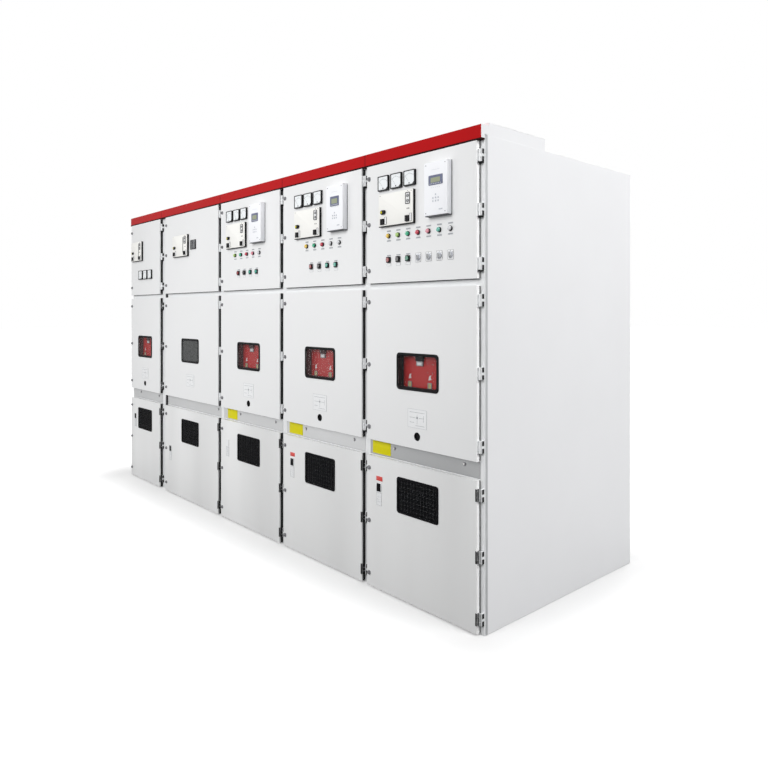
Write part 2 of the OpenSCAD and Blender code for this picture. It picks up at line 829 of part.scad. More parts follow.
// One third of a hinge's height belongs to the door's knuckle
knuckle_h = hinge_h / 3;
module fixed_hinge() {
    depth = front - hinge_y;
    wide = door_margin - hinge_off - 1;
    span([knuckle_r + fit, wide], [1.2, depth], [-hinge_h / 2, hinge_h / 2]);
    for (z = [-hinge_h / 2, knuckle_h / 2]) {
        rod_z(knuckle_r, [z, z + knuckle_h]);
        span([0, knuckle_r + fit], [1.2, depth], [z, z + knuckle_h]);
    }
    rod_z(pin_r, [-hinge_h / 2, hinge_h / 2]);
}

// The moving half, on the door's edge: origin on the pin at the hinge's middle
module door_hinge() {
    leaf_t = 2;
    half = knuckle_h / 2 - 0.4;
    difference() {
        union() {
            span([seat - hinge_off, leaf_t - hinge_off], [4 - door_t / 2, door_t / 2 - 4],
                [-hinge_h / 2, hinge_h / 2]);
            span([seat - hinge_off, 0], [-knuckle_r, 0], [-half, half]);
            rod_z(knuckle_r, [-half, half]);
        }
        rod_z(pin_r + pin_clear, [-half - 1, half + 1]);
    }
}

// A folded door pan. Its cut-outs are outlines from the pan's lower left corner
module door_pan(k, z, h) {
    w = door_w(k);
    translate([door_left(k), door_back, z]) difference() {
        span([0, w], [-door_t, 0], [0, h]);
        span([sheet, w - sheet], [sheet - door_t, -sheet], [sheet, h - sheet]);
        span([door_lip, w - door_lip], [-sheet - 1, 1], [door_lip, h - door_lip]);
        upright(sheet - door_t + 1, sheet + 2) children();
    }
}

// Hinge leaves and latches of one door
module door_fittings(k, z, h) {
    for (rise = hinge_zs(h)) {
        translate([door_left(k) + door_w(k) + hinge_off, hinge_y, z + rise]) door_hinge();
        translate([door_left(k) + latch_inset, door_face, z + rise]) latch();
    }
}

// A cam latch: a slotted head outside and the cam, turned upright, inside the pan
module latch() {
    head_t = 7;
    difference() {
        rod_y(latch_r, [-head_t, -seat]);
        span([-1.5, 1.5], [-head_t - 1, 2 - head_t], [-latch_r, latch_r]);
    }
    rod_y(7, [sheet + seat, sheet + 12]);
    span([-7, 7], [sheet + 12, sheet + 15], [-8, 30]);
}

module instrument_door(k) {
    room = 1;
    color("gainsboro") {
        door_pan(k, board_foot, board_h) {
            for (d = concat(meters(k), relays(k), statuses(k), grilles(k)))
                translate([d[0], board_h - d[1]])
                    square([d[2] - 12 + room, d[3] - 12 + room], center = true);
            for (d = concat(lamps(k), buttons(k)))
                translate([d[0], board_h - d[1]]) circle(cap_r + control_clear);
        }
        door_fittings(k, board_foot, board_h);
    }
}

// Places its children at an instrument's centre on the door's face
module on_board(k, place) {
    translate([door_left(k) + place[0], door_face, board_top - place[1]]) children();
}

// Everything screwed into one instrument door, apart from the moving controls
module door_devices(k) {
    color("black")
    for (m = meters(k)) on_board(k, m) cased_device(m[2], m[3], meter_d, 45);
    color("ivory")
    for (m = statuses(k)) on_board(k, m) status_box(m[2], m[3]);
    color("white")
    for (m = relays(k)) on_board(k, m) cased_device(m[2], m[3], relay_d, 110);
    color("black")
    for (m = grilles(k)) on_board(k, m) grille_box(m[2], m[3]);
    color("limegreen")
    for (m = lamps(k)) on_board(k, m) lamp();
    color("silver")
    for (i = [0:1:len(buttons(k)) - 1]) on_board(k, buttons(k)[i]) control_base(k, i);
}

// A device with a front of w by h on the door and a case through the door behind it
module cased_device(w, h, proud, case_d) {
    span([-w / 2, w / 2], [-proud, 0], [-h / 2, h / 2]);
    span([6 - w / 2, w / 2 - 6], [0, case_d], [6 - h / 2, h / 2 - 6]);
}

// The operating-state indicator: a shallow box with a display hood and two square knobs
module status_box(w, h) {
    knob = 26;
    cased_device(w, h, status_d, 40);
    for (x = [knob - w / 2, w / 2 - 1.6 * knob])
        translate([x, 0, 0.9 * knob - h / 2])
            span([-knob / 2, knob / 2], [-status_d - 16, -status_d - seat], [-knob / 2, knob / 2]);
    translate([w / 2 - 42, 0, h / 2 - 46])
        span([-15, 15], [-status_d - 3, -status_d - seat], [-30, 30]);
}

// A small humidity controller with bars over its face
module grille_box(w, h) {
    bars = 7;
    cased_device(w, h, 6, 40);
    for (i = [0:bars - 1])
        translate([0, 0, (i + 0.5 - bars / 2) * (h - 8) / bars])
            span([4 - w / 2, w / 2 - 4], [-10, -6], [-2.5, 2.5]);
}

// A lamp: bezel, domed lens and the body behind the door
module lamp() {
    rod_y(bezel_r, [-5, 0]);
    translate([0, -5 - seat, 0]) rotate([90, 0, 0]) cylinder(r1 = cap_r, r2 = cap_r - 4, h = 9);
    rod_y(cap_r, [0, 46]);
}

// A control's fixed parts. Where its cap is a moving part of its own, only a ring is left
module control_base(k, i) {
    difference() {
        rod_y(bezel_r, [-8, 0]);
        rod_y(cap_r + control_clear, [-9, -seat]);
    }
    if (k != 5) rod_y(cap_r, [-12, -0.4]);
    rod_y(cap_r, [0, 50]);
}

// A cap that runs in a bezel, button_travel clear of the bezel's floor
module button_cap(i) {
    on_board(5, buttons(5)[i]) rod_y(cap_r, [-13, -0.4 - button_travel]);
}

// A rotary selector with a raised grip
module selector_knob(i) {
    on_board(5, buttons(5)[i]) {
        rod_y(cap_r, [-10, -0.4]);
        span([-3.5, 3.5], [-19, -10], [-10, 10]);
    }
}

module breaker_door(k) {
    w = door_w(k);
    cut = seal_w / 2;
    color("gainsboro") {
        door_pan(k, breaker_foot, breaker_door_h) {
            translate([w / 2, window_rise])
                rounded(window_w - 2 * cut, window_h - 2 * cut, window_round - cut);
            if (k != 2) translate([w / 2, port_rise]) circle(port_r);
        }
        door_fittings(k, breaker_foot, breaker_door_h);
    }
    color("black") window_seal(k);
}

// Places its children at the middle of a window, on the outer face of the door
module at_window(k) {
    translate([door_mid(k), door_face, breaker_foot + window_rise]) children();
}

pane_back = 1;
module pane_blank(slack) {
    edge = seal_w - 5 - slack;
    upright(pane_back + pane_t + slack, pane_t + 2 * slack)
        rounded(window_w - 2 * edge, window_h - 2 * edge, window_round - edge);
}

// A rubber profile round the window: a lip on each side of the sheet, a groove for the pane and
// a reveal that reaches almost to the truck's face
module window_seal(k) {
    cut = seal_w / 2;
    lip = 3;
    wall = seal_w - 2.5;
    at_window(k) difference() {
        union() {
            upright(-seat, lip) rounded(window_w, window_h, window_round);
            upright(sheet + 1, sheet + 2) rounded(window_w - 2 * cut - 2 * seat,
                window_h - 2 * cut - 2 * seat, window_round - cut);
            upright(sheet + seat + lip, lip) rounded(window_w, window_h, window_round);
            upright(reveal_d, reveal_d - sheet)
                rounded(window_w - 2 * wall, window_h - 2 * wall, window_round - wall);
        }
        upright(reveal_d + 1, reveal_d + 1 + 2 * lip)
            rounded(window_w - 2 * seal_w, window_h - 2 * seal_w, window_round - seal_w);
        pane_blank(seat / 2);
    }
}

module window_pane(k) {
    color("lightblue", 0.4) at_window(k) pane_blank(0);
}

module cable_door(k) {
    w = door_w(k);
    slot_rise = earth_z - door_foot;
    color("gainsboro") {
        door_pan(k, door_foot, cable_door_h) {
            translate([w / 2, mesh_rise])
                rounded(mesh_w - 2 * mesh_rim, mesh_h - 2 * mesh_rim, 6);
            if (k != 2) translate([slot_x, slot_rise])
                square([slot_w - 8, slot_h - 8], center = true);
        }
        door_fittings(k, door_foot, cable_door_h);
    }
    color("black") {
        translate([door_mid(k), door_face, door_foot + mesh_rise]) mesh_grille();
        translate([door_left(k) + slot_x, door_face, door_foot + (k == 2 ? 350 : slot_rise)])
            earth_cover();
    }
}

// A mesh of crossed wires in a frame that stands on the door's face
module mesh_grille() {
    columns = floor((mesh_w - 2 * mesh_rim) / mesh_pitch / 2);
    rows = floor((mesh_h - 2 * mesh_rim) / mesh_pitch / 2);
    upright(-seat, 3) difference() {
        rounded(mesh_w, mesh_h, 12);
        rounded(mesh_w - 2 * mesh_rim, mesh_h - 2 * mesh_rim, 6);
    }
    upright(-seat, 1.2) {
        for (i = [-columns:columns]) translate([i * mesh_pitch, 0])
            square([wire_w, mesh_h - 2 * mesh_rim], center = true);
        for (i = [-rows:rows]) translate([0, i * mesh_pitch])
            square([mesh_w - 2 * mesh_rim, wire_w], center = true);
    }
}

// The sliding cover of the earthing port, on the door's face
module earth_cover() {
    span([-slot_w / 2, slot_w / 2], [-3, -seat], [-slot_h / 2, slot_h / 2]);
}

// A whole truck in one piece group, for the panels whose truck isn't split further
module breaker_truck(k) {
    truck_carriage(k);
    breaker_poles(k);
}

// The wheeled carriage with its racking beam, red face and mechanism housing
module truck_carriage(k) {
    half = truck_w(k) / 2;
    tube = [half - wheel_w - 44, half - wheel_w - 4];
    axle_z = rail_t + fit + wheel_r;
    translate([mid(k), face_y - travel, deck_z]) {
        color("firebrick")
        span([-half, half], [0, sheet], [beam_h + 26, truck_h]);
        color("dimgray")
        difference() {
            span([20 - half, half - 20], [sheet + seat, 168], [beam_h + 30, truck_h - 6]);
            span([23 - half, half - 23], [sheet + 3, 165], [beam_h + 29, truck_h - 9]);
        }
        color("silver") {
            racking_beam(half - wheel_w);
            for (side = [-1, 1]) scale_x(side) {
                span(tube, [64 + seat, 430], [20, 76]);
                for (y = [90, 400]) translate([0, y, axle_z]) {
                    rod_x(wheel_r, [half - wheel_w, half]);
                    rod_x(5, [tube[1] + seat, half - wheel_w]);
                }
                span([tube[0], tube[1]], [70, 160], [76 + seat, beam_h + 30 - seat]);
            }
            span([seat - tube[0], tube[0] - seat], [370 + seat, 430], [20, 76]);
        }
    }
}

// The front beam with the racking screw's socket
module racking_beam(half) {
    beam_foot = 20;
    port_z = breaker_foot + port_rise - deck_z;
    difference() {
        span([-half, half], [4, 64], [beam_foot, beam_foot + beam_h]);
        span([3 - half, half - 3], [7, 65], [beam_foot + 3, beam_foot + beam_h - 3]);
        translate([0, 0, port_z]) rod_y(16, [3, 8]);
    }
    translate([0, 0, port_z]) {
        difference() {
            rod_y(14, [7, 64]);
            span([-6, 6], [6, 30], [-6, 6]);
        }
        rod_y(9, [64, 370]);
    }
}

// Three poles with their bosses, contact arms and clusters, the travel short of their contacts
module breaker_poles(k) {
    foot = beam_h + 30;
    for (x = phases(k)) translate([x, -travel, deck_z]) {
        color("saddlebrown") {
            translate([0, pole_y, 0]) pole_body([foot, truck_h - 20]);
            for (rise = [foot, truck_h - 60])
                span([-24, 24], [face_y + 168 + seat, pole_y], [rise, rise + 30]);
        }
        for (z = [arm_rise, arm_rise + arm_split]) translate([0, 0, z]) {
            color("dimgray") rod_y(arm_r, [pole_y + pole_r + 22 + seat, tip_y - cluster_l - seat]);
            color("silver") cluster();
        }
    }
}

// One embedded pole: a shedded column with a boss for each contact arm
module pole_body(z) {
    sheds = 4;
    gap = (arm_split - 76) / (sheds + 1);
    rod_z(pole_r, z);
    for (i = [1:sheds])
        translate([0, 0, arm_rise + 38 + gap * i]) cylinder(r = pole_r + 9, h = 8, center = true);
    for (rise = [arm_rise, arm_rise + arm_split])
        translate([0, 0, rise]) rod_y(34, [0, pole_r + 22]);
}

// A contact cluster: slotted fingers round a flared bore, held by two garter bands
module cluster() {
    slit = 2;
    band_w = 5;
    difference() {
        union() {
            rod_y(cluster_r - 2, [tip_y - cluster_l, tip_y]);
            for (y = [tip_y - 46, tip_y - 18]) rod_y(cluster_r, [y, y + band_w]);
        }
        rod_y(cluster_bore, [tip_y - bore_d, tip_y + 1]);
        translate([0, tip_y - 6, 0]) rotate([-90, 0, 0])
            cylinder(r1 = cluster_bore, r2 = cluster_bore + 6, h = 6.01);
        for (i = [0:finger_n - 1]) rotate([0, i * 360 / finger_n, 0])
            span([cluster_bore - 1, cluster_r - 4], [tip_y - bore_d, tip_y + 1],
                [-slit / 2, slit / 2]);
    }
}

// Two shutter plates on a pair of side links, closed while the truck is in the test position.
// They lift shutter_lift as it runs in
module shutters(k) {
    half = shutter_w(k) / 2;
    link = 18;
    color("silver")
    translate([mid(k), shutter_y, -shutter_lift]) {
        for (z = [lower_z, upper_z])
            span([-half, half], [0, shutter_t], [z + shutter_rise, z + shutter_rise + shutter_h]);
        for (side = [-1, 1]) scale_x(side)
            span([half - link, half], [0, shutter_t],
                [lower_z + shutter_rise + shutter_h, upper_z + shutter_rise]);
    }
}

// The earthing switch: a shaft across the panel with three pairs of blades, open at rest
module earthing_switch(k) {
    end = widths[k - 1] / 2 - sheet - 4;
    blade_t = 6;
    gap = 0.5;
    color("peru")
    translate([mid(k), earth_y, earth_z]) {
        rod_x(earth_r, [-end, end]);
        for (x = phases(k), side = [-1, 1])
            translate([x - mid(k), 0, 0]) scale_x(side) rotate([-blade_drop, 0, 0])
                blade([tongue_t / 2 + gap, tongue_t / 2 + gap + blade_t]);
    }
}

// One blade, pointing along +Y, bored for the shaft
module blade(x) {
    half = 20;
    difference() {
        union() {
            span(x, [0, blade_l], [-half, half]);
            rod_x(half + 6, x);
        }
        rod_x(earth_r + 0.05, [x[0] - 1, x[1] + 1]);
    }
}

cubicle_frames();
base_frames();
cubicle_sheets();
end_covers();
rear_covers();
roof_plates();
relief_flaps();
control_bus_duct();
fascia_strips();
guide_rails();
insulators();
busbars();
current_transformers();
voltage_transformers();
hinge_blocks();
for (k = PANELS) {
    instrument_door(k);
    door_devices(k);
    breaker_door(k);
    window_pane(k);
    cable_door(k);
}
for (k = [1, 3, 4])
    breaker_truck(k);
truck_carriage(5);  // truck_carriage_5
breaker_poles(5);  // breaker_poles_5
for (k = TRUCKS) {
    shutters(k);
    earthing_switch(k);
}
color("firebrick") button_cap(0);  // red_button
color("black") button_cap(1);  // black_button
color("green") button_cap(2);  // green_button
for (i = [1:4])
    color("silver") selector_knob(i + 2);
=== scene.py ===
"""Looks of a five-panel row of metal-enclosed switchgear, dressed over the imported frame.

Lengths are millimetres in the row's own frame: +X along the row, the doors face -Y, +Z is up.
Panels are numbered from 1, the narrow one at the left end, to 5 at the right end.
"""

from __future__ import annotations

import logging
import math
from collections.abc import Callable, Iterable, Iterator, Sequence
from contextlib import contextmanager
from dataclasses import dataclass, field
from enum import Enum

import bmesh
import bpy
from mathutils import Matrix, Vector


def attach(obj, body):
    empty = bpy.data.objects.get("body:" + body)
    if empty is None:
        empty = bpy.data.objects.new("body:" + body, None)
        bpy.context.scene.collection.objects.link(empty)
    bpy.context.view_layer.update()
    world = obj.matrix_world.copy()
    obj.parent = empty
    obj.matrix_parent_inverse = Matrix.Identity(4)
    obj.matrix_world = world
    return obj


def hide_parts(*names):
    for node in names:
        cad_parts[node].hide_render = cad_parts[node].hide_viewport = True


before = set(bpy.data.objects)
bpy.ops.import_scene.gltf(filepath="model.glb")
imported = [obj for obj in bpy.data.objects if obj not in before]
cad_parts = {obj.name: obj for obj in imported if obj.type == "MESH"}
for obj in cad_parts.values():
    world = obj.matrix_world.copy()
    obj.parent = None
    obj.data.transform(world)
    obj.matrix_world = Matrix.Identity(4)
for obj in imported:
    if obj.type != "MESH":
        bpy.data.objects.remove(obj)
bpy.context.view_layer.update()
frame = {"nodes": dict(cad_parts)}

LOG = logging.getLogger("switchgear_row")
STATIC_BODY = "cubicles"
MM = 0.001
FAR = 1.0e4
Pair = tuple[float, float]
Triple = tuple[float, float, float]
Outline = list[Pair]


class Axis(Enum):
    """Direction that a rod or a turned piece runs along."""

    Y = 1
    Z = 2


class Grain(Enum):
    """Fine structure of a surface, as the stretch of its noise along X, Y and Z."""

    PEEL = (1.0, 1.0, 1.0)
    BRUSHED = (0.02, 1.0, 1.0)
    MOULDED = (1.4, 1.4, 1.4)
    SPANGLED = (0.7, 0.7, 0.7)


# ---------------------------------------------------------------- sizes


@dataclass(frozen=True)
class Row:
    """Sizes and places that the whole row shares."""

    widths: tuple[float, ...] = (650.0, 1000.0, 800.0, 800.0, 800.0)
    front: float = -650.0
    back: float = 650.0
    height: float = 2240.0
    duct_top: float = 2300.0
    door_face: float = -676.0
    door_sheet: float = 2.0
    margin: float = 22.0
    wide_margin: float = 90.0
    cable_foot: float = 8.0
    cable_top: float = 694.0
    breaker_foot: float = 778.0
    breaker_top: float = 1566.0
    board_foot: float = 1598.0
    board_top: float = 2214.0
    lip_top: float = 2223.6
    window_z: float = 1153.0
    mesh_z: float = 530.0
    port_inset: float = 96.0
    hinge_inset: float = 66.0
    hinge_offset: float = 8.0
    hinge_height: float = 56.0
    hinge_y: float = -663.5
    latch_inset: float = 18.0
    latch_half: float = 9.5
    # On panels 1 to 4 the black seal starts this far behind the door's face, reaching forward over the
    # returns as painted shade of the joints between panels.
    gasket_and_shade_from: float = 8.0
    last_gasket_from: float = 18.5
    truck_face: float = -636.0
    truck_beam_top: float = 886.0
    truck_panels: tuple[int, ...] = (1, 3, 4, 5)

    @property
    def length(self) -> float:
        """Whole length of the row without its end covers."""
        return sum(self.widths)

    @property
    def panels(self) -> range:
        """Numbers of the panels from left to right."""
        return range(1, len(self.widths) + 1)

    def left(self, panel: int) -> float:
        """X of a panel's left edge."""
        return sum(self.widths[: panel - 1]) - self.length / 2

    def right(self, panel: int) -> float:
        """X of a panel's right edge."""
        return self.left(panel) + self.widths[panel - 1]

    def door_left(self, panel: int) -> float:
        """X of the left edge of a panel's doors."""
        return self.left(panel) + (self.wide_margin if panel == 2 else self.margin)

    def door_right(self, panel: int) -> float:
        """X of the right edge of a panel's doors."""
        return self.right(panel) - self.margin

    def door_middle(self, panel: int) -> float:
        """X of the middle of a panel's doors."""
        return (self.door_left(panel) + self.door_right(panel)) / 2

    def hinge_x(self, panel: int) -> float:
        """X of the hinge pins of a panel's doors."""
        return self.door_right(panel) + self.hinge_offset

    def port_z(self, panel: int) -> float:
        """Height of the earthing port in a panel's cable door."""
        return self.cable_foot + (350 if panel == 2 else 529)

    def doors(self) -> dict[str, Pair]:
        """Lower and upper edge of each kind of door.

        Returns:
            The two edges by kind of door, from below.
        """
        return {
            "cable_door": (self.cable_foot, self.cable_top),
            "breaker_door": (self.breaker_foot, self.breaker_top),
            "instrument_door": (self.board_foot, self.board_top),
        }

    def fittings(self, kind: str) -> list[float]:
        """Heights of the three hinges, and of the three latches, of one kind of door."""
        low, high = self.doors()[kind]
        return [low + self.hinge_inset, (low + high) / 2, high - self.hinge_inset]

    def hinges(self) -> list[tuple[int, str, float]]:
        """Panel, kind of door and height of every hinge."""
        kinds = [(kind, z) for kind in self.doors() for z in self.fittings(kind)]
        return [(panel, kind, z) for panel in self.panels for kind, z in kinds]


ROW = Row()


# ---------------------------------------------------------------- materials


class Graph:
    """Short-hand for wiring one node tree."""

    def __init__(self, tree: bpy.types.NodeTree) -> None:
        """Keeps the tree that the nodes go into."""
        self.tree = tree

    def feed(self, socket: bpy.types.NodeSocket, value: object) -> None:
        """Links an output to a socket, or sets the socket's own value.

        Args:
            socket: The input.
            value: An output to link, or a plain value.
        """
        if isinstance(value, bpy.types.NodeSocket):
            self.tree.links.new(value, socket)
        else:
            socket.default_value = value

    def node(self, kind: str, inputs: dict | None = None, **settings: object) -> bpy.types.Node:
        """Adds a node.

        Args:
            kind: Blender's type name of the node, where the word ShaderNode may be left off.
            inputs: Values or sockets for its inputs, by name or number.
            settings: Attributes to set on the node first.

        Returns:
            The new node.
        """
        made = self.tree.nodes.new(kind if kind.startswith("Node") else "ShaderNode" + kind)
        for name, value in settings.items():
            setattr(made, name, value)
        for key, value in (inputs or {}).items():
            self.feed(made.inputs[key], value)
        return made

    def place(self) -> bpy.types.NodeSocket:
        """Coordinates in the row's own frame, in metres."""
        return self.node("TexCoord").outputs["Object"]

    def math(self, operation: str, first: object, second: object = 0.0) -> bpy.types.NodeSocket:
        """Result of one operation on two values or sockets."""
        return self.node("Math", {0: first, 1: second}, operation=operation).outputs[0]

    def vector(self, operation: str, *terms: object) -> bpy.types.NodeSocket:
        """Result of one operation on vectors or their sockets."""
        return self.node("VectorMath", dict(enumerate(terms)), operation=operation).outputs[0]

    def noise(self, place: object, scale: object, detail: float, roughness: float) -> bpy.types.NodeSocket:
        """Noise from 0 to 1 at a place."""
        inputs = {"Vector": place, "Scale": scale, "Detail": detail, "Roughness": roughness}
        return self.node("TexNoise", inputs).outputs[0]

    def mix(self, share: object, first: object, second: object) -> bpy.types.NodeSocket:
        """Blend of two numbers by a share from 0 to 1."""
        return self.node("Mix", {0: share, 2: first, 3: second}, data_type="FLOAT").outputs[0]

    def blend(self, share: object, first: object, second: object) -> bpy.types.NodeSocket:
        """Blend of two colours by a share from 0 to 1."""
        pair = [(*value, 1.0) if isinstance(value, tuple) else value for value in (first, second)]
        return self.node("Mix", {0: share, 6: pair[0], 7: pair[1]}, data_type="RGBA").outputs[2]


class Effect:
    """A shader node group with named sockets, shared by many materials."""

    title = "effect"
    takes: dict[str, float | Triple] = {}
    gives: tuple[str, ...] = ()

    def __init__(self) -> None:
        """Builds the group once."""
        self.group = bpy.data.node_groups.new(self.title, "ShaderNodeTree")
        for name, value in self.takes.items():
            kind = "NodeSocketVector" if isinstance(value, tuple) else "NodeSocketFloat"
            socket = self.group.interface.new_socket(name, in_out="INPUT", socket_type=kind)
            socket.default_value = value
        for name in self.gives:
            self.group.interface.new_socket(name, in_out="OUTPUT", socket_type="NodeSocketFloat")
        graph = Graph(self.group)
        graph.node("NodeGroupOutput", self.wire(graph, graph.node("NodeGroupInput").outputs))

    def wire(self, graph: Graph, source: bpy.types.NodeOutputs) -> dict[str, bpy.types.NodeSocket]:
        """Builds the group's inside.

        Args:
            graph: The group's node tree.
            source: The group's inputs by name.

        Returns:
            What the group puts out, by name.
        """
        raise NotImplementedError

    def place(self, graph: Graph, **values: object) -> bpy.types.NodeOutputs:
        """Puts the effect into a material with its own values, and gives its outputs."""
        inputs = {name.replace("_", " ").capitalize(): value for name, value in values.items()}
        return graph.node("Group", inputs, node_tree=self.group).outputs


class FineGrain(Effect):
    """Orange peel, brushing or mould texture, the slow mottling of a coat's colour, and tall darker streaks
    on a broad wave, which on the cable doors are painted bands of shade.
    """

    title = "fine grain"
    takes = {"Stretch": (1.0, 1.0, 1.0), "Fineness": 500.0}
    gives = ("Height", "Mottle", "Streak")
    mottle_scale = 2.0
    tallness = 0.16
    streak_scale = 3.6
    streak_range = (0.32, 0.68)
    swell_scale = 0.3927
    swell_phase = 1.375
    swell_share = 0.6

    def wire(self, graph: Graph, source: bpy.types.NodeOutputs) -> dict[str, bpy.types.NodeSocket]:
        """A fine noise for the height, a slow one for mottling, and tall streaks on a broad wave.

        Args:
            graph: The group's node tree.
            source: The group's inputs by name.

        Returns:
            What the group puts out, by name.
        """
        place = graph.place()
        drawn = graph.vector("MULTIPLY", place, source["Stretch"])
        tall = graph.vector("MULTIPLY", place, (1.0, 1.0, self.tallness))
        low, high = self.streak_range
        streak = graph.noise(tall, self.streak_scale, 1.5, 0.4)
        spread = graph.node("MapRange", {0: streak, 1: low, 2: high, 3: 0.0, 4: 1.0}).outputs[0]
        swell = graph.node("TexWave", {
            "Vector": tall, "Scale": self.swell_scale, "Distortion": 0.9, "Detail": 1.0,
            "Detail Scale": 1.0, "Phase Offset": self.swell_phase,
        }).outputs["Fac"]
        narrow = graph.math("MULTIPLY", spread, 1 - self.swell_share)
        broad = graph.math("MULTIPLY", swell, self.swell_share)
        return {
            "Height": graph.noise(drawn, source["Fineness"], 2.0, 0.55),
            "Mottle": graph.noise(place, self.mottle_scale, 3.0, 0.5),
            "Streak": graph.math("ADD", narrow, broad),
        }


class Spangle(Effect):
    """Crystal flakes of a zinc coat, each with its own shade."""

    title = "zinc spangle"
    takes = {"Flake size": 90.0}
    gives = ("Shade",)

    def wire(self, graph: Graph, source: bpy.types.NodeOutputs) -> dict[str, bpy.types.NodeSocket]:
        """Cells with a random shade each.

        Args:
            graph: The group's node tree.
            source: The group's inputs by name.

        Returns:
            What the group puts out, by name.
        """
        inputs = {"Vector": graph.place(), "Scale": source["Flake size"], "Randomness": 1.0}
        flake = graph.node("TexVoronoi", inputs).outputs["Color"]
        return {"Shade": graph.node("SeparateColor", {0: flake}).outputs[0]}


class SettledDust(Effect):
    """A thin film on surfaces that face up, thicker in patches."""

    title = "settled dust"
    takes = {"Amount": 0.2}
    gives = ("Mask",)
    patch_scale = 6.0

    def wire(self, graph: Graph, source: bpy.types.NodeOutputs) -> dict[str, bpy.types.NodeSocket]:
        """Upward share of the normal times a patchy noise.

        Args:
            graph: The group's node tree.
            source: The group's inputs by name.

        Returns:
            What the group puts out, by name.
        """
        facing = graph.node("SeparateXYZ", {0: graph.node("NewGeometry").outputs["Normal"]})
        upward = graph.math("MAXIMUM", facing.outputs[2])
        film = graph.math("MULTIPLY", upward, graph.noise(graph.place(), self.patch_scale, 4.0, 0.5))
        return {"Mask": graph.math("MULTIPLY", film, source["Amount"])}


class BoxZone(Effect):
    """1 inside an upright box of the row's frame and 0 outside it."""

    title = "box zone"
    takes = {"Centre": (0.0, 0.0, 0.0), "Half": (0.0, 0.0, 0.0)}
    gives = ("Mask",)

    def wire(self, graph: Graph, source: bpy.types.NodeOutputs) -> dict[str, bpy.types.NodeSocket]:
        """Compares the distance from the centre with the half sizes on each axis.

        Args:
            graph: The group's node tree.
            source: The group's inputs by name.

        Returns:
            What the group puts out, by name.
        """
        away = graph.vector("SUBTRACT", graph.place(), source["Centre"])
        over = graph.vector("SUBTRACT", graph.vector("ABSOLUTE", away), source["Half"])
        x, y, z = graph.node("SeparateXYZ", {0: over}).outputs
        worst = graph.math("MAXIMUM", graph.math("MAXIMUM", x, y), z)
        return {"Mask": graph.math("LESS_THAN", worst)}


@dataclass(frozen=True)
class Finish:
    """One paint, metal, plastic or glass, and how it varies over a surface."""

    name: str
    colour: Triple
    roughness: float = 0.4
    metallic: float = 0.0
    grain: Grain = Grain.PEEL
    fineness: float = 420.0
    bump: float = 0.15
    mottle: float = 0.04
    dust: float = 0.0
    coat: float = 0.0
    alpha: float = 1.0
    specular: float = 0.3
    streak: float = 0.0


@dataclass(frozen=True)
class Zone:
    """A box of the row's frame that has another finish, open on the sides that aren't given."""

    finish: Finish
    x: Pair = (-FAR, FAR)
    y: Pair = (-FAR, FAR)
    z: Pair = (0.0, FAR)


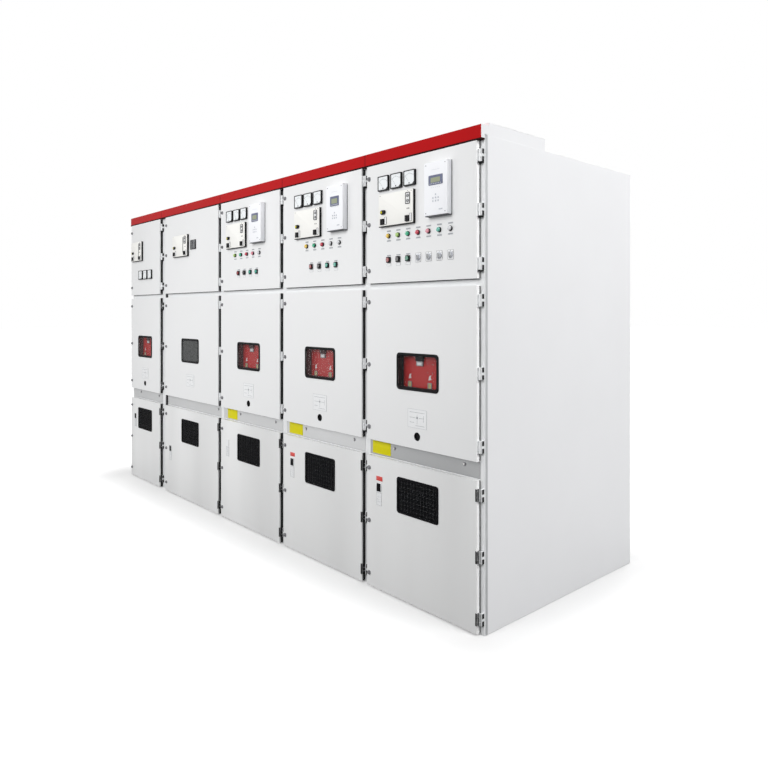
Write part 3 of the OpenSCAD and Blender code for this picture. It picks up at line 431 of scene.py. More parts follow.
class Palette:
    """Makes each material once and hands it out by name."""

    dust_colour: Triple = (0.62, 0.60, 0.56)
    coat_roughness = 0.12
    bump_depth = 0.0002
    flake_size = 70.0
    streak_share = 0.8
    plain_swing = 0.05
    flake_swing = 0.12

    def __init__(self) -> None:
        """Builds the shared effects."""
        self.grain = FineGrain()
        self.spangle = Spangle()
        self.dust = SettledDust()
        self.zone = BoxZone()
        self.made: dict[str, bpy.types.Material] = {}

    def get(self, finish: Finish) -> bpy.types.Material:
        """Material of one finish."""
        return self.zoned(finish.name, finish, ())

    def zoned(self, name: str, base: Finish, zones: Sequence[Zone]) -> bpy.types.Material:
        """Material with a base finish and other finishes in boxes.

        Args:
            name: Name of the material.
            base: Finish outside every box.
            zones: Boxes in the order in which they cover each other.

        Returns:
            The material, made at the first call.
        """
        if name in self.made:
            return self.made[name]
        material = self.made[name] = bpy.data.materials.new(name)
        material.use_nodes = True
        graph = Graph(material.node_tree)
        grain = self.grain.place(graph, stretch=base.grain.value, fineness=base.fineness)
        colour, rough = self._surface(graph, base, grain)
        metal: object = base.metallic
        for zone in zones:
            mask = self._mask(graph, zone)
            other_colour, other_rough = self._surface(graph, zone.finish, grain)
            colour = graph.blend(mask, colour, other_colour)
            rough = graph.mix(mask, rough, other_rough)
            if zone.finish.metallic != base.metallic or isinstance(metal, bpy.types.NodeSocket):
                metal = graph.mix(mask, metal, zone.finish.metallic)
        values = {
            "Base Color": colour, "Roughness": rough, "Metallic": metal, "Specular IOR Level": base.specular,
            "Coat Weight": base.coat, "Coat Roughness": self.coat_roughness, "Alpha": base.alpha,
        }
        if base.bump > 0:
            relief = {"Strength": base.bump, "Distance": self.bump_depth, "Height": grain["Height"]}
            values["Normal"] = graph.node("Bump", relief).outputs[0]
        for socket, value in values.items():
            graph.feed(material.node_tree.nodes["Principled BSDF"].inputs[socket], value)
        return material

    def _surface(
        self, graph: Graph, finish: Finish, grain: bpy.types.NodeOutputs
    ) -> tuple[bpy.types.NodeSocket, bpy.types.NodeSocket]:
        """Colour and roughness sockets of one finish.

        Args:
            graph: Node tree that the nodes go into.
            finish: The finish to lay on.
            grain: Outputs of the fine grain.

        Returns:
            The colour and the roughness.
        """
        darker = tuple(c * (1 - 2 * finish.mottle) for c in finish.colour)
        lighter = tuple(min(1.0, c * (1 + finish.mottle)) for c in finish.colour)
        share, swing = grain["Mottle"], self.plain_swing
        if finish.grain is Grain.SPANGLED:
            share, swing = self.spangle.place(graph, flake_size=self.flake_size)["Shade"], self.flake_swing
        elif finish.grain is Grain.BRUSHED:
            share = graph.mix(0.5, share, grain["Height"])
        colour = graph.blend(share, darker, lighter)
        # Tall darker streaks; on the cable doors they paint soft vertical bands of shade.
        if finish.streak > 0:
            shade = tuple(c * (1 - finish.streak) for c in finish.colour)
            colour = graph.blend(graph.math("MULTIPLY", grain["Streak"], self.streak_share), colour, shade)
        if finish.dust > 0:
            colour = graph.blend(self.dust.place(graph, amount=finish.dust)["Mask"], colour, self.dust_colour)
        smooth, coarse = max(0.02, finish.roughness - swing), min(1.0, finish.roughness + swing)
        return colour, graph.mix(share, smooth, coarse)

    def _mask(self, graph: Graph, zone: Zone) -> bpy.types.NodeSocket:
        """1 inside the zone's box.

        Args:
            graph: Node tree that the nodes go into.
            zone: The box.

        Returns:
            The mask's socket.
        """
        spans = (zone.x, zone.y, zone.z)
        centre = tuple((low + high) / 2 * MM for low, high in spans)
        half = tuple((high - low) / 2 * MM for low, high in spans)
        return self.zone.place(graph, centre=centre, half=half)["Mask"]


PEEL, BRUSHED, MOULDED, SPANGLED = Grain.PEEL, Grain.BRUSHED, Grain.MOULDED, Grain.SPANGLED

FRAME_PAINT = Finish("frame paint", (0.80, 0.81, 0.82), 0.42, bump=0.10, dust=0.2)
DOOR_PAINT = Finish("door paint", (0.80, 0.805, 0.81), 0.38, bump=0.14, mottle=0.015, specular=0.2)
# Near-white paint laid on the last panel's hinge-side door returns as a painted highlight.
EDGE_HIGHLIGHT_PAINT = Finish("door edge painted highlight", (0.93, 0.932, 0.935), 0.38, bump=0.1, mottle=0.01, specular=0.2)
# Cable door paint; its streaks paint soft vertical bands of shade.
DOOR_PAINT_LOW = Finish(
    "cable door paint", (0.84, 0.845, 0.845), 0.38, bump=0.14, mottle=0.015, specular=0.2, streak=0.2
)
COVER_PAINT = Finish("cover paint", (0.87, 0.875, 0.89), 0.42, bump=0.12, mottle=0.02, dust=0.15)
# A darker copy of the band steel for the last panel, painted shade of the band at the row's right end.
BAND_STEEL = Finish(
    "brushed band steel with painted shade", (0.34, 0.345, 0.35), 0.42, 0.35, BRUSHED, 900.0, 0.2, 0.14, streak=0.2
)
BAND_STEEL_LIGHT = Finish(
    "light band steel", (0.50, 0.505, 0.51), 0.42, 0.35, BRUSHED, 900.0, 0.2, 0.12, streak=0.12
)
ZINC_SHEET = Finish("galvanised sheet", (0.55, 0.57, 0.59), 0.42, 0.8, SPANGLED, 300.0, 0.05, 0.16, dust=0.3)
ZINC_RAIL = Finish("zinc plated rail", (0.62, 0.62, 0.60), 0.32, 0.9, BRUSHED, 600.0, 0.1, 0.08, dust=0.2)
RED_GLOSS = Finish("red fascia gloss", (0.45, 0.005, 0.007), 0.38, bump=0.05, mottle=0.05, specular=0.06)
RED_SEAM = Finish("fascia seam", (0.10, 0.002, 0.003), 0.5, specular=0.05)
# Near-black laid on the fascia's lip and underside as painted shade.
LIP_SHADE_BLACK = Finish("fascia lip painted shade", (0.014, 0.001, 0.001), 0.6, specular=0.04)
HINGE_LIGHT = Finish("hinge light casting", (0.78, 0.79, 0.80), 0.40, 0.1, MOULDED, 500.0, 0.2, 0.05)
HINGE_GREY = Finish("hinge grey casting", (0.33, 0.335, 0.34), 0.45, 0.1, MOULDED, 500.0, 0.2, 0.05)
# Black hinge parts; on the knuckles at the joints between panels and under the upper hinges the black also
# paints shade.
HINGE_DARK = Finish(
    "hinge black casting and painted shade", (0.010, 0.010, 0.011), 0.5, 0.0, MOULDED, 500.0, 0.2, 0.1, specular=0.08
)
LATCH_CHROME = Finish("latch chrome", (0.17, 0.17, 0.18), 0.3, 0.6, MOULDED, 500.0, 0.05, 0.05)
RUBBER = Finish("seal rubber", (0.010, 0.010, 0.011), 0.62, 0.0, MOULDED, 700.0, 0.25, 0.15, specular=0.05)
BLACK_STEEL = Finish(
    "black mesh steel", (0.004, 0.004, 0.005), 0.6, 0.0, PEEL, 500.0, 0.1, 0.1, specular=0.03
)
BLACK_CASE = Finish(
    "black moulded case", (0.013, 0.013, 0.015), 0.42, 0.0, MOULDED, 900.0, 0.25, 0.1, specular=0.12
)
IVORY_FACE = Finish("ivory face", (0.87, 0.865, 0.835), 0.45, 0.0, MOULDED, 800.0, 0.1, 0.02)
WHITE_CASE = Finish("white moulded case", (0.88, 0.89, 0.92), 0.4, 0.0, MOULDED, 800.0, 0.1, 0.02)
DIAL_WHITE = Finish("dial white", (0.84, 0.87, 0.885), 0.35, 0.0, MOULDED, 800.0, 0.0, 0.02, coat=0.3)
PRINT_GREY = Finish("print grey", (0.30, 0.31, 0.33), 0.5)
PRINT_FAINT = Finish("faint print", (0.52, 0.54, 0.56), 0.5)
PRINT_BLACK = Finish("print black", (0.02, 0.02, 0.022), 0.5)
FLANGE_AND_SHADE_GREY = Finish(
    "case flange and painted shade grey", (0.13, 0.135, 0.145), 0.5, 0.0, MOULDED, 800.0, 0.1, 0.05, specular=0.1
)
EDGING_SHADE_GREY = Finish("edging painted shade grey", (0.57, 0.575, 0.59), 0.5, 0.0, MOULDED, 500.0, 0.1, 0.04, specular=0.1)
PLATE_GREY = Finish("blank plate grey", (0.62, 0.63, 0.64), 0.4, 0.3, BRUSHED, 700.0, 0.05, 0.04)
PLATE_WHITE = Finish("blank plate white", (0.82, 0.83, 0.84), 0.4)
PLATE_YELLOW = Finish("blank plate yellow", (0.68, 0.62, 0.008), 0.45, specular=0.08)
PLATE_RED = Finish("blank plate red", (0.60, 0.05, 0.04), 0.4)
SCREEN_BEZEL = Finish("screen bezel", (0.125, 0.14, 0.22), 0.45, 0.0, MOULDED)
SCREEN_GLASS = Finish("screen glass", (0.30, 0.33, 0.22), 0.35, coat=0.1, specular=0.2)
KEY_GREY = Finish("soft key grey", (0.55, 0.57, 0.62), 0.5, 0.0, MOULDED)
KNOB_GREY = Finish("selector grey", (0.55, 0.56, 0.57), 0.35, 0.0, MOULDED)
TARGET_YELLOW = Finish("indicator yellow", (0.52, 0.46, 0.20), 0.45, 0.0, MOULDED)
TRUCK_RED = Finish("truck face red", (0.50, 0.020, 0.020), 0.45, bump=0.1, mottle=0.04, specular=0.1)
HOUSING_GREY = Finish("housing grey", (0.30, 0.31, 0.32), 0.45, 0.3, bump=0.1, dust=0.2)
RESIN_BROWN = Finish("cast resin", (0.23, 0.055, 0.030), 0.32, 0.0, MOULDED, 300.0, 0.15, 0.08, dust=0.2)
CT_BROWN = Finish("transformer resin", (0.16, 0.045, 0.028), 0.38, 0.0, MOULDED, 250.0, 0.2, 0.08, dust=0.2)
COPPER = Finish("bare copper", (0.72, 0.36, 0.22), 0.3, 1.0, BRUSHED, 500.0, 0.12, 0.12)
SILVERED = Finish("silvered contact", (0.80, 0.79, 0.75), 0.22, 1.0, MOULDED, 500.0, 0.05, 0.05)
CLEAR_PANE = Finish("clear pane", (0.05, 0.05, 0.05), 0.06, bump=0.0, alpha=0.10, specular=0.08)
# Paler pinkish pane for panels 1, 3 and 4, whose colour paints a brighter reflection in their windows.
PALE_PANE = Finish("pale pane", (0.22, 0.13, 0.13), 0.06, bump=0.0, alpha=0.13, specular=0.08)
GREY_PANE = Finish("grey pane", (0.16, 0.165, 0.165), 0.10, bump=0.0, alpha=0.34, specular=0.12)


class Lens(Enum):
    """Colours of the lamp lenses and of the push-button caps."""

    YELLOW = (0.75, 0.50, 0.05)
    LIME = (0.35, 0.55, 0.12)
    GREEN = (0.03, 0.42, 0.22)
    RED = (0.50, 0.02, 0.05)
    PINK = (0.66, 0.22, 0.28)
    TEAL = (0.12, 0.45, 0.36)
    FROST = (0.62, 0.63, 0.65)
    CAP_RED = (0.22, 0.012, 0.015)
    CAP_BLACK = (0.015, 0.015, 0.016)
    CAP_GREEN = (0.01, 0.16, 0.09)
    CAP_TEAL = (0.03, 0.30, 0.22)

    def finish(self) -> Finish:
        """Glossy moulded finish of this colour."""
        name = "moulded " + self.name.lower()
        return Finish(name, self.value, 0.25, 0.0, MOULDED, 600.0, 0.05, 0.05, coat=0.5)


PALETTE = Palette()


# ---------------------------------------------------------------- mesh kit


def rounded(width: float, height: float, radius: float, steps: int = 5) -> Outline:
    """Outline of a rectangle with round corners, centred on the origin.

    Args:
        width: Size along X.
        height: Size along Z.
        radius: Radius of the corners.
        steps: Facets in each corner.

    Returns:
        The outline's points in order.
    """
    points: Outline = []
    for side_x, side_z, start in ((1, 1, 0), (-1, 1, 90), (-1, -1, 180), (1, -1, 270)):
        for step in range(steps + 1):
            angle = math.radians(start + 90 * step / steps)
            x = side_x * (width / 2 - radius) + radius * math.cos(angle)
            points.append((x, side_z * (height / 2 - radius) + radius * math.sin(angle)))
    return points


def circle(radius: float, sides: int = 36) -> Outline:
    """Outline of a circle, centred on the origin."""
    turns = [2 * math.pi * side / sides for side in range(sides)]
    return [(radius * math.cos(turn), radius * math.sin(turn)) for turn in turns]


def shifted(outline: Outline, x: float, z: float) -> Outline:
    """The same outline at another place."""
    return [(x + a, b + z) for a, b in outline]


class Shape:
    """A mesh under construction, in millimetres from a movable origin."""

    sharp_angle = 32.0

    def __init__(self, name: str) -> None:
        """Starts an empty mesh that will have this name.

        Args:
            name: Name of the piece, in letters, digits and underscores.
        """
        self.name = name
        self.bm = bmesh.new()
        self.finishes: list[str] = []
        self.origin = Vector((0.0, 0.0, 0.0))

    def at(self, x: float, y: float, z: float) -> Shape:
        """Moves the origin for what is added next."""
        self.origin = Vector((x, y, z))
        return self

    @contextmanager
    def aside(self, x: float, z: float) -> Iterator[None]:
        """Moves the origin by this much, and back after the block.

        Args:
            x: Move along X.
            z: Move along Z.
        """
        start = self.origin.copy()
        self.at(start.x + x, start.y, start.z + z)
        yield
        self.origin = start

    def _take(self, piece: bmesh.types.BMesh, finish: Finish) -> None:
        """Adds a finished piece with its finish to the mesh.

        Args:
            piece: The piece, which is freed.
            finish: What it is made of.
        """
        PALETTE.get(finish)
        if finish.name not in self.finishes:
            self.finishes.append(finish.name)
        index = self.finishes.index(finish.name)
        bmesh.ops.recalc_face_normals(piece, faces=piece.faces)
        for face in piece.faces:
            face.material_index = index
        for vert in piece.verts:
            vert.co += self.origin
        holder = bpy.data.meshes.new("holder")
        piece.to_mesh(holder)
        piece.free()
        self.bm.from_mesh(holder)
        bpy.data.meshes.remove(holder)

    def block(self, low: Triple, high: Triple, finish: Finish, edge: float = 0.0, steps: int = 2) -> None:
        """Adds a box with softened edges.

        Args:
            low: Lowest corner.
            high: Highest corner.
            finish: What it is made of.
            edge: Width of the softened edges.
            steps: Facets across a softened edge.
        """
        piece = bmesh.new()
        size = [b - a for a, b in zip(low, high)]
        middle = [(a + b) / 2 for a, b in zip(low, high)]
        matrix = Matrix.Translation(middle) @ Matrix.Diagonal((*size, 1.0))
        bmesh.ops.create_cube(piece, size=1.0, matrix=matrix)
        if edge > 0:
            self._round(piece, piece.edges[:], min(edge, min(size) * 0.45), steps)
        self._take(piece, finish)

    @staticmethod
    def _round(piece: bmesh.types.BMesh, edges: list, width: float, steps: int = 2) -> None:
        """Rounds some edges of a piece."""
        bmesh.ops.bevel(piece, geom=edges, offset=width, segments=steps, profile=0.5, affect="EDGES")

    def lathe(self, profile: Sequence[Pair], finish: Finish, axis: Axis = Axis.Y, sides: int = 28) -> None:
        """Adds a closed turned piece.

        Args:
            profile: Points of radius and distance along the axis, from one end on the axis to the other.
            finish: What it is made of.
            axis: Axis that it is turned about.
            sides: Number of sides round the axis.
        """
        piece = bmesh.new()
        rings: list[list[bmesh.types.BMVert]] = []
        for radius, along in profile:
            spots = circle(radius, sides) if radius > 1e-6 else [(0.0, 0.0)]
            upright = axis is Axis.Z
            points = [(across, up, along) if upright else (across, along, up) for across, up in spots]
            rings.append([piece.verts.new(point) for point in points])
        for first, second in zip(rings, rings[1:]):
            for side in range(sides):
                after = (side + 1) % sides
                if len(first) == 1 and len(second) > 1:
                    piece.faces.new((first[0], second[side], second[after]))
                elif len(second) == 1 and len(first) > 1:
                    piece.faces.new((second[0], first[after], first[side]))
                elif len(first) > 1:
                    piece.faces.new((first[side], first[after], second[after], second[side]))
        self._take(piece, finish)

    def rod(
        self, radius: float, start: float, end: float, finish: Finish,
        edge: float = 0.6, sides: int = 28, axis: Axis = Axis.Y,
    ) -> None:
        """Adds a round bar with softened ends.

        Args:
            radius: Radius of the bar.
            start: Lower end along the axis.
            end: Upper end.
            finish: What it is made of.
            edge: Width of the softened edges.
            sides: Number of sides round the axis.
            axis: Axis that it lies along.
        """
        edge = min(edge, (end - start) / 2.2, radius / 2)
        low = [(0.0, start), (radius - edge, start), (radius, start + edge)]
        high = [(radius, end - edge), (radius - edge, end), (0.0, end)]
        self.lathe(low + high, finish, axis, sides)

    def slab(self, outline: Outline, start: float, end: float, finish: Finish, edge: float = 0.0) -> None:
        """Adds an upright plate of any outline in X and Z, from one Y to another.

        Args:
            outline: Points of X and Z.
            start: Y of the near face.
            end: Y of the far face.
            finish: What it is made of.
            edge: Width of the softened edges.
        """
        piece = bmesh.new()
        near, far = ([piece.verts.new((x, y, z)) for x, z in outline] for y in (start, end))
        piece.faces.new(near)
        piece.faces.new(far[::-1])
        for i in range(len(outline)):
            j = (i + 1) % len(outline)
            piece.faces.new((near[j], near[i], far[i], far[j]))
        if edge > 0:
            self._round(piece, [e for e in piece.edges if self._is_upright(e)], edge)
        self._take(piece, finish)

    def ring(
        self, outer: Outline, inner: Outline, start: float, end: float, finish: Finish, edge: float = 0.0
    ) -> None:
        """Adds an upright frame between two outlines of as many points.

        Args:
            outer: Outer outline.
            inner: Inner outline.
            start: Y of the near face.
            end: Y of the far face.
            finish: What it is made of.
            edge: Width of the softened edges.
        """
        piece = bmesh.new()
        out_near, out_far, in_near, in_far = (
            [piece.verts.new((x, y, z)) for x, z in line] for line in (outer, inner) for y in (start, end)
        )
        for i in range(len(outer)):
            j = (i + 1) % len(outer)
            piece.faces.new((out_near[i], out_near[j], in_near[j], in_near[i]))
            piece.faces.new((out_far[j], out_far[i], in_far[i], in_far[j]))
            piece.faces.new((out_near[j], out_near[i], out_far[i], out_far[j]))
            piece.faces.new((in_near[i], in_near[j], in_far[j], in_far[i]))
        if edge > 0:
            self._round(piece, [e for e in piece.edges if self._is_rim(e)], edge)
        self._take(piece, finish)

    @staticmethod
    def _is_upright(edge: bmesh.types.BMEdge) -> bool:
        """Whether an edge lies in the plane of a plate's face."""
        return abs(edge.verts[0].co.y - edge.verts[1].co.y) < 1e-6

    def _is_rim(self, edge: bmesh.types.BMEdge) -> bool:
        """Whether an edge lies along the rim of a frame, where a flat face meets a side.

        Args:
            edge: The edge.

        Returns:
            True for a rim.
        """
        if not self._is_upright(edge):
            return False
        sides = edge.link_faces
        for face in sides:
            face.normal_update()
        return len(sides) == 2 and abs(sides[0].normal.dot(sides[1].normal)) < 0.5

    def finish_on(self, body: str, slot: str, *replaced: str) -> None:
        """Turns the mesh into a piece that rides on a body.

        Args:
            body: Name of the body that carries it.
            slot: Material slot of the record that it belongs to; not used.
            replaced: Frame nodes that it stands for.
        """
        mesh = bpy.data.meshes.new(self.name)
        bmesh.ops.scale(self.bm, vec=(MM, MM, MM), verts=self.bm.verts)
        self.bm.to_mesh(mesh)
        self.bm.free()
        for name in self.finishes:
            mesh.materials.append(PALETTE.made[name])
        mesh.shade_smooth()
        mesh.set_sharp_from_angle(angle=math.radians(self.sharp_angle))
        piece = bpy.data.objects.new(self.name, mesh)
        bpy.context.scene.collection.objects.link(piece)
        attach(piece, body)
        if replaced:
            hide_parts(*replaced)
        LOG.info("%s rides on %s, %d faces", self.name, body, len(mesh.polygons))


# ---------------------------------------------------------------- frame nodes


@dataclass
class FrameDressing:
    """Gives every kept node of the frame its material and softened edges."""

    nodes: dict[str, bpy.types.Object]
    edge_width: float = 1.0
    edge_angle: float = 40.0
    weld_width: float = 0.00001
    skin: float = 0.1
    band_depth: float = 10.0
    seam_half: float = 2.2
    fascia_end: float = 0.9
    window_half: Pair = (145.1, 92.1)
    mesh_half: Pair = (143.1, 90.1)
    port_span: Pair = (79.0, 113.0)
    port_half: float = 22.5
    port_depth: float = 9.0
    latch_depth: float = 40.0
    cam_depths: Pair = (2.1, 18.0)
    leaf_gap: float = 0.05
    highlight_return: float = 0.3
    truck_face_depths: Pair = (-1.0, 2.1)
    housing_depths: Pair = (2.15, 168.1)
    pole_depths: Pair = (168.15, 330.1)
    arms_from: float = 330.15
    softened: tuple[str, ...] = ("end_covers", "control_bus_duct", "fascia_strips", "cubicle_frames")

    def dress(self) -> None:
        """Dresses the static nodes, the doors and the trucks."""
        for name, finish in self.plain().items():
            self._paint(name, PALETTE.get(finish))
        self._paint("cubicle_frames", PALETTE.zoned("frames and bands", FRAME_PAINT, self.band_zones()))
        self._paint("fascia_strips", PALETTE.zoned("fascia and lip", RED_GLOSS, self.fascia_zones()))
        for panel in ROW.panels:
            self._dress_doors(panel)
        for panel in ROW.truck_panels:
            self._dress_truck(panel)
        for name in self.softened:
            self._soften(name)

    @staticmethod
    def plain() -> dict[str, Finish]:
        """Nodes that have a single finish.

        Returns:
            Finish by node.
        """
        table = {
            "base_frames": ZINC_SHEET, "cubicle_sheets": ZINC_SHEET, "end_covers": COVER_PAINT,
            "rear_covers": COVER_PAINT, "roof_plates": FRAME_PAINT, "relief_flaps": FRAME_PAINT,
            "control_bus_duct": COVER_PAINT, "guide_rails": ZINC_RAIL, "insulators": RESIN_BROWN,
            "busbars": COPPER, "current_transformers": CT_BROWN, "voltage_transformers": CT_BROWN,
            "hinge_blocks": HINGE_LIGHT, "red_button": Lens.CAP_RED.finish(),
            "black_button": Lens.CAP_BLACK.finish(), "green_button": Lens.CAP_GREEN.finish(),
        }
        for panel in ROW.panels:
            # Panels 1, 3 and 4 get the pale pane as a painted reflection.
            table[f"window_pane_{panel}"] = {2: GREY_PANE, 5: CLEAR_PANE}.get(panel, PALE_PANE)
        for panel in ROW.truck_panels:
            table[f"shutters_{panel}"] = ZINC_SHEET
            table[f"earthing_switch_{panel}"] = COPPER
        for knob in range(1, 5):
            table[f"selector_{knob}"] = KNOB_GREY
        return table

    def band_zones(self) -> list[Zone]:
        """The bare band plates, which lie in front of the posts; the last one is a darker copy of the same
        steel, painted shade.
        """
        depth = (ROW.front - self.band_depth, ROW.front - self.skin)
        return [Zone(BAND_STEEL_LIGHT, y=depth), Zone(BAND_STEEL, (ROW.left(5), FAR), depth)]

    def fascia_zones(self) -> list[Zone]:
        """The turned-in ends where two fascias meet, the closed ends of the row, and the lip below, painted
        near-black as the shade under the fascia.

        Returns:
            The zones in the order in which they cover each other.
        """
        joints = [ROW.left(panel) for panel in ROW.panels[1:]]
        seams = [Zone(RED_SEAM, (x - self.seam_half, x + self.seam_half)) for x in joints]
        end = ROW.length / 2 + self.fascia_end
        ends = [Zone(COVER_PAINT, (-FAR, -end)), Zone(COVER_PAINT, (end, FAR))]
        return [*seams, *ends, Zone(LIP_SHADE_BLACK, z=(0, ROW.lip_top))]

    def _dress_doors(self, panel: int) -> None:
        """Paints one panel's three doors with their seals, grilles, latches and hinge leaves; on panels 1 to
        4 the black seal over the door returns also paints the shade between panels, and on the last panel the
        hinge-side return gets a painted highlight.

        Args:
            panel: Number of the panel.
        """
        left, right, middle = ROW.door_left(panel), ROW.door_right(panel), ROW.door_middle(panel)
        face, last, leaf_x = ROW.door_face, panel == 5, right + self.leaf_gap
        latch_x = left + ROW.latch_inset
        latch_span = (latch_x - ROW.latch_half, latch_x + ROW.latch_half)
        latches = Zone(LATCH_CHROME, latch_span, (face - self.latch_depth, face - self.skin))
        cams = Zone(ZINC_RAIL, latch_span, tuple(face + depth for depth in self.cam_depths))
        port = Zone(
            BLACK_STEEL, tuple(left + inset for inset in self.port_span),
            (face - self.port_depth, face - self.skin),
            (ROW.port_z(panel) - self.port_half, ROW.port_z(panel) + self.port_half),
        )
        # The last panel's hinge-side returns get a painted highlight.
        edges = [Zone(EDGE_HIGHLIGHT_PAINT, (right - self.highlight_return, leaf_x))] if last else []
        extra = {
            "breaker_door": self._around_sheet((middle, ROW.window_z), self.window_half, RUBBER),
            "cable_door": [*self._around_sheet((middle, ROW.mesh_z), self.mesh_half, BLACK_STEEL), port],
        }
        gasket_and_shade_y = face + (ROW.last_gasket_from if last else ROW.gasket_and_shade_from)
        for kind, (low, high) in ROW.doors().items():
            # Black seal on the returns; on panels 1 to 4 it also paints the shade between panels.
            gasket_and_shade = Zone(RUBBER, y=(gasket_and_shade_y, FAR), z=(low + 1, high - 1))
            cable = kind == "cable_door"
            leaves = Zone(HINGE_DARK if cable else HINGE_LIGHT, (leaf_x, FAR))
            zones = [*edges, gasket_and_shade, latches, cams, leaves, *extra.get(kind, [])]
            name = f"{kind}_{panel}"
            self._paint(name, PALETTE.zoned(name + " paint", DOOR_PAINT_LOW if cable else DOOR_PAINT, zones))
            self._soften(name)

    @staticmethod
    def _around_sheet(middle: Pair, half: Pair, finish: Finish) -> list[Zone]:
        """Zones before and behind a door's own sheet, for what is set into its opening.

        Args:
            middle: Middle of the opening, x and z.
            half: Half width and half height of the zones.
            finish: Finish inside them.

        Returns:
            The two zones.
        """
        (x, z), (w, h) = middle, half
        depths = ((-FAR, ROW.door_face - 0.05), (ROW.door_face + ROW.door_sheet + 0.05, FAR))
        return [Zone(finish, (x - w, x + w), depth, (z - h, z + h)) for depth in depths]

    def _dress_truck(self, panel: int) -> None:
        """Paints one truck: red face, grey housing, zinc running gear, resin poles, silvered arms.

        Args:
            panel: Number of the panel.
        """
        top = ROW.truck_beam_top
        layers = (
            (TRUCK_RED, self.truck_face_depths, top - 0.5), (HOUSING_GREY, self.housing_depths, top + 2),
            (RESIN_BROWN, self.pole_depths, top), (SILVERED, (self.arms_from, FAR), top),
        )
        front, housing, poles, arms = (
            Zone(finish, y=(ROW.truck_face + start, ROW.truck_face + end), z=(low, FAR))
            for finish, (start, end), low in layers
        )
        if panel == 5:
            self._paint("truck_carriage_5", PALETTE.zoned("carriage 5", ZINC_RAIL, [front, housing]))
            self._paint("breaker_poles_5", PALETTE.zoned("poles 5", RESIN_BROWN, [arms]))
        else:
            trucks = PALETTE.zoned("trucks", ZINC_RAIL, [front, housing, poles, arms])
            self._paint(f"breaker_truck_{panel}", trucks)

    def _paint(self, name: str, material: bpy.types.Material) -> None:
        """Puts a material into a node's slots.

        Args:
            name: Name of the node.
            material: The material.
        """
        node = self.nodes[name]
        if not node.material_slots:
            node.data.materials.append(material)
        for slot in node.material_slots:
            slot.material = material

    def _soften(self, name: str) -> None:
        """Softens a node's edges with modifiers, which leave its mesh as it is.

        Args:
            name: Name of the node.
        """
        weld = self.nodes[name].modifiers.new("weld", "WELD")
        weld.merge_threshold = self.weld_width
        bevel = self.nodes[name].modifiers.new("soft edges", "BEVEL")
        bevel.width = self.edge_width * MM
        bevel.segments = 2
        bevel.limit_method = "ANGLE"
        bevel.angle_limit = math.radians(self.edge_angle)
        bevel.harden_normals = True


# ---------------------------------------------------------------- instruments


@dataclass
class Place:
    """Where an instrument sits: from the door's left edge and down from its top."""

    across: float
    drop: float

    def origin(self, panel: int) -> Triple:
        """Point on the door's face in the row's frame."""
        return (ROW.door_left(panel) + self.across, ROW.door_face, ROW.board_top - self.drop)


def label_holder(shape: Shape, width: float, height: float) -> None:
    """Adds a grey holder with a blank paper strip in it."""
    shape.slab(rounded(width, height, 1.2), -1.2, 0, PRINT_FAINT, 0.2)
    shape.slab(rounded(width - 5, height - 4.4, 0.6), -1.5, -0.9, PRINT_GREY)


def blank_plate(shape: Shape, width: float, height: float, face: Finish = PLATE_WHITE) -> None:
    """Adds a thin unmarked plate with a fine border.

    Args:
        shape: The mesh that it goes into.
        width: Size along X.
        height: Size along Z.
        face: Finish of its face.
    """
    outline = rounded(width, height, 1.2)
    shape.slab(outline, -0.9, 0, face)
    shape.ring(outline, rounded(width - 1.6, height - 1.6, 0.6), -1.1, -0.2, PRINT_GREY)


def pointer(
    shape: Shape, pivot: Pair, angle: float, span: Pair, half: float, front: float, finish: Finish
) -> None:
    """Adds one thin bar that points away from a pivot.

    Args:
        shape: The mesh that it goes into.
        pivot: Point that it turns about, x and z.
        angle: Its direction in degrees, with 0 along +X.
        span: Distances of its two ends from the pivot.
        half: Half of its width.
        front: Y of its face.
        finish: What it is made of.
    """
    turn = math.radians(angle)
    along = (math.cos(turn), math.sin(turn))
    side = (-along[1] * half, along[0] * half)
    points = [
        (pivot[0] + along[0] * r + s * side[0], pivot[1] + along[1] * r + s * side[1])
        for r, s in ((span[0], -1), (span[1], -1), (span[1], 1), (span[0], 1))
    ]
    shape.slab(points, front, front + 0.5, finish)


